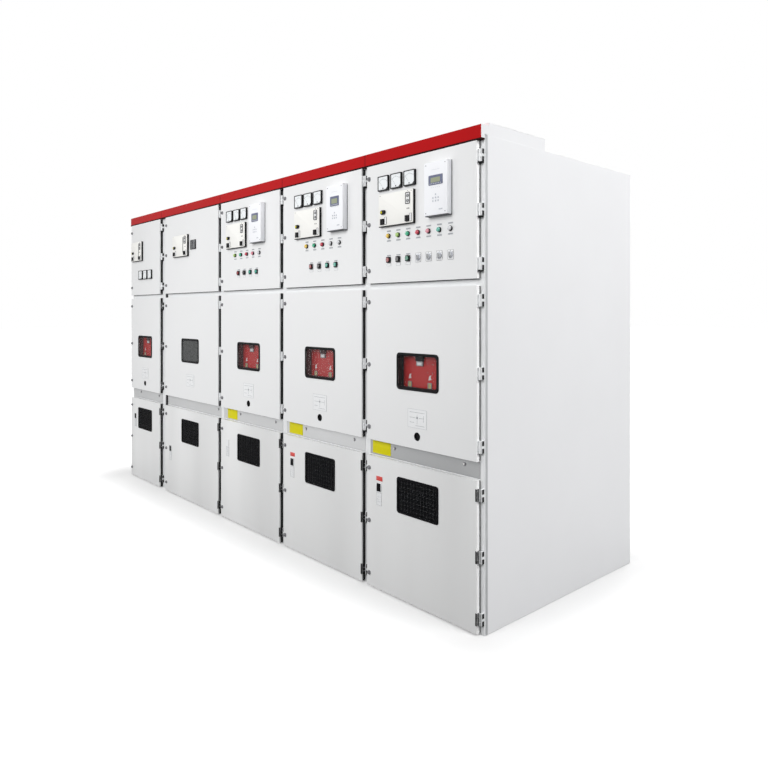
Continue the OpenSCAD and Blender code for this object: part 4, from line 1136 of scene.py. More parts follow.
@dataclass
class PanelMeter:
    """A square moving-iron meter with a plain scale."""

    width: float = 80.0
    height: float = 77.0
    depth: float = 12.0
    sweep: float = 84.0
    ticks: int = 10
    arc_pieces: int = 14
    pivot: Pair = (-0.5, -22.0)
    radius: float = 42.0
    needle: float = 130.0
    dial_shift: Pair = (-0.6, 0.8)
    cap_radius: float = 3.4
    back: Triple = (63.0, 63.0, 45.0)

    def add(self, shape: Shape) -> None:
        """Adds one meter at the shape's origin.

        Args:
            shape: The mesh that it goes into.
        """
        half_w, half_h, face = self.width / 2, self.height / 2, -self.depth
        case_w, case_h = half_w - 0.3, half_h - 0.3
        inner = shifted(rounded(self.width - 10, self.height - 10.5, 2.5), *self.dial_shift)
        shape.block((-case_w, face + 3.2, -case_h), (case_w, 0, case_h), BLACK_CASE, 0.8)
        shape.ring(rounded(self.width, self.height, 3.5), inner, face, face + 3.4, BLACK_CASE, 0.7)
        shape.slab(inner, face + 2.4, face + 3.6, DIAL_WHITE)
        self._scale(shape)
        front = face + 1.9
        corner = [(half_w - 20, 6.5 - half_h), (half_w - 6, 6.5 - half_h), (half_w - 6, 20 - half_h)]
        shape.slab(corner, front, front + 0.6, PRINT_BLACK)
        foot = (-half_w + 6, front, -half_h + 8.5), (half_w - 22, front + 0.6, -half_h + 9.2)
        shape.block(*foot, PRINT_FAINT)
        with shape.aside(-0.5, 13 - half_h):
            shape.rod(self.cap_radius, face + 0.6, face + 2.4, BLACK_CASE, 0.5, 16)
            shape.block((-2.4, face + 0.3, -0.35), (2.4, face + 0.7, 0.35), LATCH_CHROME)

    def _scale(self, shape: Shape) -> None:
        """Adds the ticks, the arc and the needle, all plain.

        Args:
            shape: The mesh that it goes into.
        """
        front, start = -self.depth + 2.0, 90 + self.sweep / 2
        for tick in range(self.ticks + 1):
            end = self.radius + (6.0 if tick % 5 == 0 else 3.5)
            angle = start - self.sweep * tick / self.ticks
            pointer(shape, self.pivot, angle, (self.radius, end), 0.6, front, PRINT_GREY)
        for piece in range(self.arc_pieces):
            one, two = (math.radians(start - self.sweep * (piece + i) / self.arc_pieces) for i in (0, 1))
            near, far = self.radius, self.radius + 0.8
            corners = ((near, one), (near, two), (far, two), (far, one))
            points = [(r * math.cos(a), r * math.sin(a)) for r, a in corners]
            shape.slab(shifted(points, *self.pivot), front, front + 0.5, PRINT_FAINT)
        pointer(shape, self.pivot, self.needle, (8, self.radius + 2), 0.35, front - 0.5, PRINT_GREY)


@dataclass
class StateIndicator:
    """The operating-state indicator: a cream face on a black box, with a display and square knobs."""

    width: float = 254.0
    height: float = 164.0
    depth: float = 17.0
    knob: float = 26.0
    strip: bool = False
    strip_width: float = 9.0
    display_inset: Pair = (37.0, 42.0)
    display_frame: Triple = (33.0, 58.0, 6.0)
    display_opening: Triple = (26.0, 51.0, 4.0)
    disc_radius: float = 8.5
    disc_rises: Pair = (12.0, -13.0)
    screw_radius: float = 2.4
    screw_inset: Pair = (12.0, 8.0)
    back: Pair = (152.0, 40.0)

    def add(self, shape: Shape) -> None:
        """Adds one indicator at the shape's origin.

        Args:
            shape: The mesh that it goes into.
        """
        half_w, half_h, front = self.width / 2, self.height / 2, -self.depth
        shape.block((-half_w, front + 1.6, -half_h - 4), (half_w, 0, half_h), BLACK_CASE, 1.0)
        shape.slab(rounded(self.width - 1, self.height - 1, 3), front, front + 2, IVORY_FACE, 0.5)
        right, drop = self.display_inset
        with shape.aside(half_w - right, half_h - drop):
            self._display(shape)
        for x in (self.knob - half_w + 6, half_w - 1.5 * self.knob):
            with shape.aside(x, 0.85 * self.knob - half_h):
                self._square_knob(shape)
        with shape.aside(self.knob - half_w + 14, 70 - half_h):
            self._small_knob(shape)
        screw_x, screw_z = half_w - self.screw_inset[0], half_h - self.screw_inset[1]
        corners = [(x, z) for x in (-screw_x, screw_x) for z in (-screw_z, screw_z)]
        for x, z in [*corners, (half_w - right, half_h - 6)]:
            with shape.aside(x, z):
                shape.rod(self.screw_radius, front - 1, front + 0.4, LATCH_CHROME, 0.6, 12)
        if self.strip:
            x = half_w * 0.42
            high = (x + self.strip_width, front, half_h - 18)
            shape.block((x, front - 0.8, -half_h + 26), high, PRINT_BLACK, 0.3)

    def _display(self, shape: Shape) -> None:
        """Adds the dark framed display with two position discs.

        Args:
            shape: The mesh that it goes into.
        """
        front, opening = -self.depth, rounded(*self.display_opening)
        shape.ring(rounded(*self.display_frame), opening, front - 3, front, BLACK_CASE, 0.8)
        shape.slab(opening, front - 1.2, front, PLATE_WHITE)
        for rise in self.disc_rises:
            with shape.aside(0, rise):
                shape.rod(self.disc_radius, front - 2.4, front - 1, PRINT_BLACK, 0.4, 20)
                shape.block((-1.3, front - 2.8, -6), (1.3, front - 2.3, 6), DIAL_WHITE)
        for side in (-7, 5):
            shape.block((side, front - 0.6, -54), (side + 6, front, -48), PRINT_BLACK, 0.2)

    def _square_knob(self, shape: Shape) -> None:
        """Adds a square rotary knob with a blank plate beside it.

        Args:
            shape: The mesh that it goes into.
        """
        front, half = -self.depth, self.knob / 2
        shape.block((-half + 1, front - 9, -half - 2), (half - 1, front, half + 2), BLACK_CASE, 1.6, 3)
        shape.block((-2.5, front - 11.5, -half + 2), (2.5, front - 8.5, half - 2), BLACK_CASE, 0.6)
        with shape.aside(22, 4):
            shape.slab(rounded(14, 38, 2), front - 0.9, front, PLATE_WHITE)
            shape.ring(rounded(16, 40, 2), rounded(13, 37, 1.4), front - 1.6, front - 0.2, PRINT_BLACK)

    def _small_knob(self, shape: Shape) -> None:
        """Adds the small round knob on its base, with a yellow button beside it.

        Args:
            shape: The mesh that it goes into.
        """
        front = -self.depth
        with shape.aside(-3, 0):
            shape.slab(rounded(36, 22, 9), front - 7, front, BLACK_CASE, 1.0)
        with shape.aside(5, 0):
            shape.rod(7.5, front - 12, front - 6.5, BLACK_CASE, 1.0, 20)
        with shape.aside(-12, 0):
            shape.rod(6.5, front - 8.5, front - 6.5, PLATE_YELLOW, 0.8, 20)


@dataclass
class ProtectionRelay:
    """The tall protection relay: white case, framed screen, soft keys."""

    width: float = 148.0
    height: float = 250.0
    depth: float = 33.6
    screen: Pair = (90.0, 46.0)
    screen_drop: float = 63.0
    soft_keys: int = 7
    keys: tuple[Pair, ...] = ((0, 0), (0, 15), (0, -15), (17, 0), (-17, 0), (-17, -15), (17, -15))
    keys_drop: float = 44.0
    key_radius: float = 4.6
    marks: tuple[float, ...] = (-26, -13, 0, 13, 26)
    screw_radius: float = 2.6
    screw_inset: float = 12.0
    back: Triple = (136.0, 238.0, 110.0)

    def add(self, shape: Shape) -> None:
        """Adds one relay at the shape's origin.

        Args:
            shape: The mesh that it goes into.
        """
        side, top, front = self.width / 2, self.height / 2, -self.depth
        shape.block((-side, front, -top), (side, -2, top), WHITE_CASE, 1.4, 3)
        # Dark grey flange round the case and a dark block under it, which paint the shadow line round the
        # relay and the shade beneath it.
        shape.block((-side - 1, -2.2, -top - 4), (side + 1.5, 0, top + 1), FLANGE_AND_SHADE_GREY, 0.4)
        shape.block((-side + 3, front + 4, -top - 3.5), (side - 2, -2.1, -top + 0.2), FLANGE_AND_SHADE_GREY, 0.6)
        wide, tall = self.screen
        with shape.aside(2, top - self.screen_drop - tall / 2):
            shape.slab(rounded(wide, tall, 3), front - 2.2, front, SCREEN_BEZEL, 0.6)
            shape.slab(rounded(wide * 0.66, tall * 0.5, 1.5), front - 2.7, front - 2, SCREEN_GLASS, 0.2)
            foot = -tall * 0.42
            for key in range(self.soft_keys):
                x = (key - self.soft_keys // 2) * wide / (self.soft_keys + 1)
                shape.block((x - 3.2, front - 3.0, foot), (x + 3.2, front - 2, foot + 4.5), KEY_GREY, 0.6)
        for x, z in self.keys:
            with shape.aside(2 + x, z - self.keys_drop):
                shape.rod(self.key_radius, front - 1.8, front - 0.3, KEY_GREY, 0.8, 16)
        for x in self.marks:
            shape.block((x - 2, front - 1.0, 3), (x + 2, front - 0.5, 5.6), KEY_GREY, 0.2)
        shape.block((-24, front - 0.9, top - 38), (26, front - 0.5, top - 37), KEY_GREY)
        shape.block((22, front - 0.9, 22 - top), (46, front - 0.5, 28 - top), KEY_GREY, 0.2)
        screw_x, screw_z = side - self.screw_inset, top - self.screw_inset
        for x in (-screw_x, screw_x):
            for z in (-screw_z, screw_z):
                with shape.aside(x, z):
                    shape.rod(self.screw_radius, front - 1.2, front, LATCH_CHROME, 0.5, 12)


@dataclass
class PilotLamp:
    """A lamp with a black ring, a domed lens with a white disc painted on as a highlight, and blank label
    holders above and below.
    """

    lens: Lens
    ring_radius: float = 12.5
    lens_radius: float = 10.8
    glint: Triple = (-3.4, 3.4, 2.2)
    label: Pair = (31.0, 8.0)
    label_rises: Pair = (25.0, -25.0)

    def add(self, shape: Shape) -> None:
        """Adds one lamp at the shape's origin.

        Args:
            shape: The mesh that it goes into.
        """
        ring, r = self.ring_radius, self.lens_radius
        shape.lathe([(0, 0), (ring, 0), (ring, -6), (ring - 1.2, -7.5), (0, -7.5)], BLACK_CASE)
        dome = [(0, -7), (r, -7), (r, -12), (r - 1.2, -14), (r - 4, -15.4), (0, -16)]
        shape.lathe(dome, self.lens.finish())
        # White disc on the lens: a painted highlight.
        x, z, glint_radius = self.glint
        with shape.aside(x, z):
            shape.rod(glint_radius, -15.8, -14.2, DIAL_WHITE, 0.5, 12)
        for rise in self.label_rises:
            with shape.aside(0, rise):
                label_holder(shape, *self.label)


@dataclass
class PushButton:
    """Ring and plate of a push-button, with its cap where the cap doesn't move."""

    cap: Lens | None
    ring_radius: float = 15.0
    cap_radius: float = 11.0
    cap_play: float = 0.3
    plate: Pair = (32.0, 13.0)
    plate_rise: float = -25.0
    label: Pair = (30.0, 7.0)
    label_rise: float = 22.0

    def add(self, shape: Shape) -> None:
        """Adds the fixed parts at the shape's origin.

        Args:
            shape: The mesh that it goes into.
        """
        side, bore, r = 2 * self.ring_radius, self.cap_radius + self.cap_play, self.cap_radius
        shape.ring(rounded(side, side, 5, 6), rounded(2 * bore, 2 * bore, bore, 6), -8, 0, BLACK_CASE, 0.8)
        if self.cap:
            shape.lathe([(0, -0.4), (r, -0.4), (r, -12), (r - 1.4, -13), (0, -13)], self.cap.finish())
        with shape.aside(0, self.plate_rise):
            blank_plate(shape, *self.plate)
        with shape.aside(0, self.label_rise):
            label_holder(shape, *self.label)


@dataclass
class SelectorBase:
    """Square plate and ring round a rotary selector."""

    ring_radius: float = 15.0
    bore: float = 11.3
    plate: Pair = (38.0, 46.0)
    border: float = 1.6
    stops: Triple = (-45, 0, 45)
    mark: Pair = (16.5, 21.0)

    def add(self, shape: Shape) -> None:
        """Adds the plate, the ring and the marks at the shape's origin.

        Args:
            shape: The mesh that it goes into.
        """
        outer = rounded(*self.plate, 3)
        inner = rounded(*(size - self.border for size in self.plate), 2)
        shape.slab(outer, -1.2, 0, PLATE_WHITE, 0.3)
        shape.ring(outer, inner, -1.6, -0.6, PRINT_BLACK)
        ring, bore = self.ring_radius, self.bore
        outside = [(0, -0.2), (0, 0), (ring, 0), (ring, -6), (ring - 1.6, -8)]
        shape.lathe([*outside, (bore, -8), (bore, -0.2), (0, -0.2)], KEY_GREY)
        for stop in self.stops:
            pointer(shape, (0, 0), 90 + stop, self.mark, 0.6, -1.8, PRINT_BLACK)


@dataclass
class GrilleController:
    """A small black humidity controller with louvred bars."""

    width: float = 90.0
    height: float = 72.0
    bars: int = 7
    bar_half: float = 2.2
    back: Triple = (78.0, 60.0, 40.0)

    def add(self, shape: Shape) -> None:
        """Adds the controller at the shape's origin.

        Args:
            shape: The mesh that it goes into.
        """
        half_w, half_h = self.width / 2, self.height / 2
        shape.block((-half_w, -6, -half_h), (half_w, 0, half_h), BLACK_CASE, 1.2)
        for bar in range(self.bars):
            z = (bar + 0.5 - self.bars / 2) * (self.height - 8) / self.bars
            low, high = (-half_w + 4, -10, z - self.bar_half), (half_w - 4, -5.5, z + self.bar_half)
            shape.block(low, high, HOUSING_GREY, 0.8)
        shape.block((-3, -11, -half_h + 3), (3, -5.5, half_h - 3), BLACK_CASE, 0.5)


@dataclass
class BoardLayout:
    """What is on one instrument door."""

    panel: int
    indicator: Place
    indicator_width: float = 254.0
    strip: bool = False
    meters: list[Place] = field(default_factory=list)
    relay: Place | None = None
    screen: Pair = (90.0, 46.0)
    lamps: list[tuple[Place, Lens]] = field(default_factory=list)
    buttons: list[tuple[Place, Lens | None]] = field(default_factory=list)
    selectors: list[Place] = field(default_factory=list)
    controller: Place | None = None
    pins: int = 6
    pin_pitch: float = 0.13
    control_back: Triple = (11.0, 0.2, 34.0)
    control_nut: Triple = (14.5, 2.2, 7.0)

    def build(self) -> None:
        """Builds the instruments as pieces that ride on the door."""
        indicator = StateIndicator(self.indicator_width, strip=self.strip)
        self._fit("state_indicator", [(self.indicator, indicator)])
        self._fit("panel_meters", [(place, PanelMeter()) for place in self.meters])
        if self.relay:
            self._fit("protection_relay", [(self.relay, ProtectionRelay(screen=self.screen))])
        if self.controller:
            self._fit("humidity_controller", [(self.controller, GrilleController())])
        self._fit("pilot_lamps", [(place, PilotLamp(lens)) for place, lens in self.lamps])
        buttons = [(place, PushButton(cap)) for place, cap in self.buttons]
        self._fit("control_rings", buttons + [(place, SelectorBase()) for place in self.selectors])
        self._build_backs()

    def _fit(self, name: str, fittings: Sequence[tuple[Place, object]]) -> None:
        """Builds one piece from the fittings at their places, if there are any.

        Args:
            name: First part of the piece's name.
            fittings: Each fitting with its place.
        """
        if not fittings:
            return
        shape = Shape(f"{name}_{self.panel}")
        for place, fitting in fittings:
            fitting.add(shape.at(*place.origin(self.panel)))
        self._fix(shape)

    def _fix(self, shape: Shape) -> None:
        """Fixes a piece to the door in the place of the frame's plain devices."""
        shape.finish_on(f"instrument_door_{self.panel}", "device_case", f"door_devices_{self.panel}")

    def _build_backs(self) -> None:
        """Builds the cases behind the door, seen when it stands open."""
        backs = Shape(f"device_backs_{self.panel}")
        boxes: list[tuple[Place, float, float, float]] = [(place, *PanelMeter.back) for place in self.meters]
        boxes.append((self.indicator, self.indicator_width - 12, *StateIndicator.back))
        if self.relay:
            boxes.append((self.relay, *ProtectionRelay.back))
        if self.controller:
            boxes.append((self.controller, *GrilleController.back))
        for place, wide, tall, deep in boxes:
            backs.at(*place.origin(self.panel))
            backs.block((-wide / 2, 0.2, -tall / 2), (wide / 2, deep, tall / 2), BLACK_CASE, 1.5)
            for row in (-0.5, 0.5):
                z = row * tall * 0.5
                backs.block((-wide * 0.4, deep - 1, z - 6), (wide * 0.4, deep + 7, z + 6), PLATE_GREY, 0.8)
                for pin in range(self.pins):
                    x = (pin - (self.pins - 1) / 2) * wide * self.pin_pitch
                    backs.block((x - 2, deep + 6, z - 3), (x + 2, deep + 8.5, z + 3), LATCH_CHROME, 0.4)
        for place in [place for place, _ in self.lamps + self.buttons] + self.selectors:
            backs.at(*place.origin(self.panel))
            backs.rod(*self.control_back, BLACK_CASE, 0.8)
            backs.rod(*self.control_nut, KEY_GREY, 0.8, 6)
            backs.block((-9, 30, -13), (9, 50, 13), BLACK_CASE, 1.0)
        self._fix(backs)


@dataclass
class InstrumentBoards:
    """The five instrument doors' fittings, each as the row has them."""

    meter_pitch: float = 97.0
    meter_drop: float = 105.0
    lamp_drop: float = 378.0
    button_drop: float = 500.0
    row_pitch: float = 78.0
    last_pitch: float = 71.0

    def build(self) -> None:
        """Builds every board from left to right."""
        for layout in self.layouts():
            layout.build()

    def _meters(self, start: float, drop: float | None = None) -> list[Place]:
        """Three meters side by side."""
        return self._line(start, self.meter_pitch, drop or self.meter_drop, 3)

    @staticmethod
    def _line(start: float, pitch: float, drop: float, count: int) -> list[Place]:
        """Places at an even pitch."""
        return [Place(start + i * pitch, drop) for i in range(count)]

    def _row(self, start: float, drop: float, colours: Sequence[Lens]) -> list[tuple[Place, Lens]]:
        """Lamps or buttons at an even pitch."""
        return list(zip(self._line(start, self.row_pitch, drop, len(colours)), colours))

    def layouts(self) -> list[BoardLayout]:
        """Layouts of the five boards.

        Returns:
            The layouts from left to right.
        """
        caps = [Lens.CAP_RED, Lens.CAP_BLACK, Lens.CAP_TEAL, Lens.CAP_TEAL]
        third = [Lens.LIME, Lens.GREEN, Lens.RED, Lens.PINK, Lens.FROST]
        fourth = [Lens.YELLOW, Lens.GREEN, Lens.RED, Lens.FROST, Lens.FROST]
        fifth = [Lens.YELLOW, Lens.LIME, Lens.GREEN, Lens.RED, Lens.PINK, Lens.TEAL, Lens.FROST]
        controls = self._line(173, self.last_pitch, self.button_drop, len(fifth))
        return [
            BoardLayout(1, Place(150, 237), 220.0, True, self._meters(221, 445)),
            BoardLayout(2, Place(297, 251), strip=True, controller=Place(499, 254)),
            BoardLayout(
                3, Place(228, 245), meters=self._meters(132), relay=Place(512, 187), screen=(78.0, 54.0),
                lamps=self._row(205, self.lamp_drop, third), buttons=self._row(249, self.button_drop, caps),
            ),
            BoardLayout(
                4, Place(268, 245), meters=self._meters(172), relay=Place(559, 187), screen=(78.0, 54.0),
                lamps=self._row(251, self.lamp_drop, fourth), buttons=self._row(297, self.button_drop, caps),
            ),
            BoardLayout(
                5, Place(239, 245), meters=self._meters(138), relay=Place(533, 187),
                lamps=list(zip(self._line(173, self.last_pitch, self.lamp_drop, len(fifth)), fifth)),
                buttons=[(place, None) for place in controls[:3]], selectors=controls[3:],
            ),
        ]


# ---------------------------------------------------------------- doors


def hinge_tone(panel: int, kind: str) -> Finish:
    """Colour of a hinge: dark on the cable doors and the narrow breaker door, grey on the last cable door;
    the dark knuckles at the joints between panels are painted shade.

    Args:
        panel: Number of the panel.
        kind: Kind of door.

    Returns:
        The finish of its sleeves.
    """
    if panel == 5 and kind == "cable_door":
        return HINGE_GREY
    return HINGE_DARK if kind == "cable_door" or (panel == 1 and kind == "breaker_door") else HINGE_LIGHT


@dataclass
class DoorTrim:
    """Everything small on the doors."""

    corner_steps: int = 8
    seal_outer: Triple = (290.6, 184.6, 20.3)
    seal_inner: Triple = (262.4, 156.4, 17.0)
    mesh_outer: Triple = (287.0, 181.0, 14.5)
    mesh_inner: Triple = (264.0, 158.0, 17.0)
    bezel: Pair = (20.5, 17.6)
    bore: Pair = (17.95, 17.0)
    flap_radius: float = 24.0
    line_plate: Pair = (131.0, 92.0)
    port_rise: float = 61.0
    plate_rise: float = 148.0
    mesh_pitch: float = 22.0 / 3
    mesh_half: Pair = (133.0, 80.0)
    wire_half: float = 1.1
    sleeve_radius: float = 6.1
    knuckle_half: float = 9.2

    def build(self) -> None:
        """Builds the trim of each panel's doors."""
        for panel in ROW.panels:
            self._breaker_trim(panel)
            self._cable_trim(panel)
            for kind in ROW.doors():
                self._latches(panel, kind)

    def _breaker_trim(self, panel: int) -> None:
        """Window seal, blank plate, racking port and its flap.

        Args:
            panel: Number of the panel.
        """
        body, middle, face = f"breaker_door_{panel}", ROW.door_middle(panel), ROW.door_face
        seal = Shape(f"window_seal_{panel}").at(middle, face, ROW.window_z)
        outer, inner = (rounded(*size, self.corner_steps) for size in (self.seal_outer, self.seal_inner))
        seal.ring(outer, inner, -4.0, -0.1, RUBBER, 1.4)
        seal.finish_on(body, "door_paint")
        plates = Shape(f"breaker_door_plates_{panel}").at(middle, face, ROW.breaker_foot + self.plate_rise)
        self._line_plate(plates)
        if panel in ROW.truck_panels:
            plates.at(middle, face, ROW.breaker_foot + self.port_rise)
            plates.ring(*map(circle, self.bezel), -1.4, -0.05, RUBBER, 0.4)
            plates.ring(*map(circle, self.bore), -0.2, 8, RUBBER)
            plates.slab(circle(self.flap_radius), 8.1, 9.6, RUBBER)
        plates.finish_on(body, "door_paint")

    def _line_plate(self, shape: Shape) -> None:
        """A thin plate with a few faint plain lines.

        Args:
            shape: The mesh that it goes into.
        """
        wide, tall = self.line_plate
        outline = rounded(wide, tall, 2)
        shape.slab(outline, -0.8, 0, PLATE_WHITE)
        shape.ring(outline, rounded(wide - 2.6, tall - 2.6, 1.4), -1.0, -0.2, PRINT_FAINT)
        lines = (
            (-52, 30, 52, 31), (-52, 4, -8, 5), (12, 4, 44, 5), (-10, -34, 50, -33),
            (-52, -20, -20, -19), (0, -26, 1, 22), (44, -12, 45, 18),
        )
        for x0, z0, x1, z1 in lines:
            shape.block((x0, -1.0, z0 - 0.4), (x1 + 0.4, -0.7, z1 + 0.2), PRINT_GREY)
        shape.block((-5, -1.1, 0), (6, -0.7, 10), PRINT_GREY, 0.2)

    def _cable_trim(self, panel: int) -> None:
        """Fine mesh, its frame, the earthing port's cover and blank plates.

        Args:
            panel: Number of the panel.
        """
        body, face = f"cable_door_{panel}", ROW.door_face
        mesh = Shape(f"vent_mesh_{panel}").at(ROW.door_middle(panel), face, ROW.mesh_z)
        outer, inner = (rounded(*size, self.corner_steps) for size in (self.mesh_outer, self.mesh_inner))
        mesh.ring(outer, inner, -4.4, -0.1, BLACK_STEEL, 1.2)
        (wide, tall), thick = self.mesh_half, self.wire_half
        for at in (i * self.mesh_pitch for i in range(-17, 18) if i % 3):
            mesh.block((at - thick, -2.6, -tall), (at + thick, -1.4, tall), BLACK_STEEL)
        for at in (i * self.mesh_pitch for i in range(-10, 11) if i % 3):
            mesh.block((-wide, -3.4, at - thick), (wide, -2.5, at + thick), BLACK_STEEL)
        mesh.finish_on(body, "door_paint")
        frame_tone, flap_tone = (DOOR_PAINT, PLATE_WHITE) if panel == 3 else (PLATE_GREY, BLACK_STEEL)
        x, z = ROW.door_left(panel) + ROW.port_inset, ROW.port_z(panel)
        plates = Shape(f"cable_door_plates_{panel}").at(x, face, z)
        plates.ring(rounded(37, 48, 2), rounded(31, 42, 1), -3.6, -0.1, frame_tone, 0.4)
        plates.slab(rounded(32, 43, 1), -3.2, -3.0, flap_tone)
        plates.at(x, face, z - 60)
        blank_plate(plates, 40, 66, PLATE_GREY)
        for row in (-14, -2, 10):
            plates.block((-13, -1.2, row), (13, -0.8, row + 0.8), PRINT_GREY)
        if panel in (4, 5):
            plates.at(x + 3, face, z + 46)
            plates.slab(rounded(48, 23, 2), -0.9, 0, PLATE_RED, 0.2)
        plates.finish_on(body, "door_paint")

    def _latches(self, panel: int, kind: str) -> None:
        """Turned latch heads over the plain ones, and the hinges' parts that move with the door.

        Args:
            panel: Number of the panel.
            kind: Kind of door.
        """
        heads = Shape(f"{kind}_latch_heads_{panel}")
        turned = [(0, 0), (12, 0), (12, -1.5), (9.6, -2.5), (9.4, -7.2), (8.2, -8.6), (0, -8.6)]
        for z in ROW.fittings(kind):
            heads.at(ROW.door_left(panel) + ROW.latch_inset, ROW.door_face, z)
            heads.lathe(turned, LATCH_CHROME, sides=24)
            heads.block((-1.5, -8.9, -7), (1.5, -8.4, 7), PRINT_BLACK)
            heads.at(ROW.hinge_x(panel), ROW.hinge_y, z)
            half = self.knuckle_half
            heads.rod(self.sleeve_radius, -half, half, hinge_tone(panel, kind), 1.0, 20, Axis.Z)
            if kind == "cable_door":
                heads.at(ROW.door_right(panel), ROW.door_face, z)
                heads.block((-7, -2.6, -28), (1.9, -0.05, 28), HINGE_DARK, 0.8)
        heads.finish_on(f"{kind}_{panel}", "door_paint")


@dataclass
class FrameTrim:
    """Small parts on the static frame: hinge sleeves and pads, seals, screws and blank plates."""

    pad_rises: Pair = (17.0, -17.0)
    pad_x: Pair = (12.7, 13.9)
    pad_y: Pair = (-13.6, -0.4)
    pad_half: float = 11.0
    sleeve_radius: float = 6.1
    sleeve_from: float = 9.6
    foot_drop: float = 7.0
    block_half: float = 14.0
    block_depth: float = 9.0
    block_inset: float = 67.0
    edging: float = 2.8
    edging_y: Pair = (-640.0, -629.2)
    lid_rows: Pair = (-606.0, -196.0)
    lid_inset: float = 40.0
    flap_rows: Triple = (-150.0, 76.0, 356.0)
    flap_inset: float = 54.0
    roof_screw: float = 5.0
    band_screw_z: float = 750.0
    band_plate_z: float = 738.0
    band_screws: tuple[tuple[int, float], ...] = (
        (1, 180), (1, 560), (2, 940), (3, 252), (3, 695), (4, 229), (4, 686), (5, 211), (5, 685),
    )
    band_plates: tuple[tuple[int, float, float], ...] = ((3, 78, 212), (4, 54, 196), (5, 42, 183))

    def build(self) -> None:
        """Builds the static trim."""
        self._fix("hinge_screws", "hinge_zinc", self._hinge_pads)
        self._fix("hinge_sleeves", "hinge_zinc", self._hinge_sleeves)
        self._fix("post_blocks", "frame_paint", self._post_blocks)
        self._fix("split_seals_and_shade", "frame_paint", self._split_seals)
        self._fix("end_cover_edging", "frame_paint", self._cover_edging)
        self._fix("band_fittings", "frame_paint", self._band_fittings)
        self._fix("roof_screws", "frame_paint", self._roof_screws)

    @staticmethod
    def _fix(name: str, slot: str, add: Callable[[Shape], None]) -> None:
        """Builds one piece on the static frame.

        Args:
            name: Name of the piece.
            slot: Its material slot in the record.
            add: Method that fills its mesh.
        """
        shape = Shape(name)
        add(shape)
        shape.finish_on(STATIC_BODY, slot)

    def _hinge_pads(self, pads: Shape) -> None:
        """Two black pads on the right side of each hinge.

        Args:
            pads: The mesh that it goes into.
        """
        for panel, _, z in ROW.hinges():
            pads.at(ROW.hinge_x(panel), ROW.front, z)
            for rise in self.pad_rises:
                low, high = zip(self.pad_x, self.pad_y, (rise - self.pad_half, rise + self.pad_half))
                pads.block(low, high, HINGE_DARK, 0.3)

    def _hinge_sleeves(self, sleeves: Shape) -> None:
        """Sleeves over the fixed knuckles, with a black foot under the upper doors' hinges that also paints
        the shadow below each hinge.

        Args:
            sleeves: The mesh that it goes into.
        """
        half = ROW.hinge_height / 2
        foot = (-half - self.foot_drop, -half - 0.6)
        for panel, kind, z in ROW.hinges():
            sleeves.at(ROW.hinge_x(panel), ROW.hinge_y, z)
            for start, end in ((-half - 0.4, -self.sleeve_from), (self.sleeve_from, half + 0.4)):
                sleeves.rod(self.sleeve_radius, start, end, hinge_tone(panel, kind), 1.0, 20, Axis.Z)
            # Black foot under the hinge, which also paints the shadow below it.
            if kind == "instrument_door" or (panel < 5 and kind == "breaker_door"):
                sleeves.rod(7.4, *foot, HINGE_DARK, 0.8, 20, Axis.Z)
                sleeves.block((-6, 0.5, foot[0]), (12.5, 13.3, foot[1]), HINGE_DARK, 0.8)

    def _post_blocks(self, blocks: Shape) -> None:
        """Black blocks on the wide panel's left post, at the band and at the door split.

        Args:
            blocks: The mesh that it goes into.
        """
        x, half, depth = ROW.left(2) + self.block_inset, self.block_half, self.block_depth
        band = (ROW.cable_top - 6, ROW.breaker_foot + 4)
        split = (ROW.breaker_top - 2, ROW.board_foot + 2)
        for low, high in (band, split):
            blocks.at(x, ROW.front, 0)
            blocks.block((-half, -depth, low), (half, 0, high), BLACK_CASE, 1.5)
            for z in (low + 8, high - 8):
                blocks.at(x, ROW.front, z)
                blocks.rod(3.2, -depth - 1.4, -depth, LATCH_CHROME, 0.6, 14)

    @staticmethod
    def _split_seals(seals: Shape) -> None:
        """Black rubber seals on the frame under the instrument doors, which also paint the shade under each
        door's lower edge.

        Args:
            seals: The mesh that it goes into.
        """
        seals.at(0, ROW.front, ROW.board_foot)
        for panel in ROW.panels:
            left, right = ROW.door_left(panel) + 3, ROW.door_right(panel) - 2
            # Black strip under each instrument door: seal and painted shade.
            seals.block((left, -6, -3.2), (right, 0, 1.5), RUBBER, 0.8)

    def _cover_edging(self, edging: Shape) -> None:
        """A grey edging strip in front of each end cover, whose darker grey paints the shade on the cover's
        front edge.

        Args:
            edging: The mesh that it goes into.
        """
        half, (near, far) = ROW.length / 2, self.edging_y
        for start, end in ((-half - self.edging, -half), (half, half + self.edging)):
            edging.block((start, near, 2.5), (end, far, ROW.height - 1), EDGING_SHADE_GREY, 0.8)

    def _band_fittings(self, bands: Shape) -> None:
        """Screws and blank plates on the bare bands.

        Args:
            bands: The mesh that it goes into.
        """
        face = ROW.front - 2.2
        head = [(0, 0), (9.5, 0), (9.5, -1), (7.8, -1.4), (7, -4), (5, -5.0), (0, -5.0)]
        for panel, x in self.band_screws:
            bands.at(ROW.left(panel) + x, face, self.band_screw_z)
            bands.lathe(head, LATCH_CHROME, sides=20)
            bands.lathe([(0, -4.6), (4.4, -4.6), (4.2, -5.4), (0, -5.7)], ZINC_RAIL, sides=20)
            bands.block((-4.6, -5.9, -0.7), (4.6, -5.2, 0.7), PRINT_BLACK)
        for panel, start, end in self.band_plates:
            bands.at(ROW.left(panel) + (start + end) / 2, face, self.band_plate_z)
            bands.slab(rounded(end - start, 66, 2), -0.9, 0, PLATE_YELLOW, 0.2)

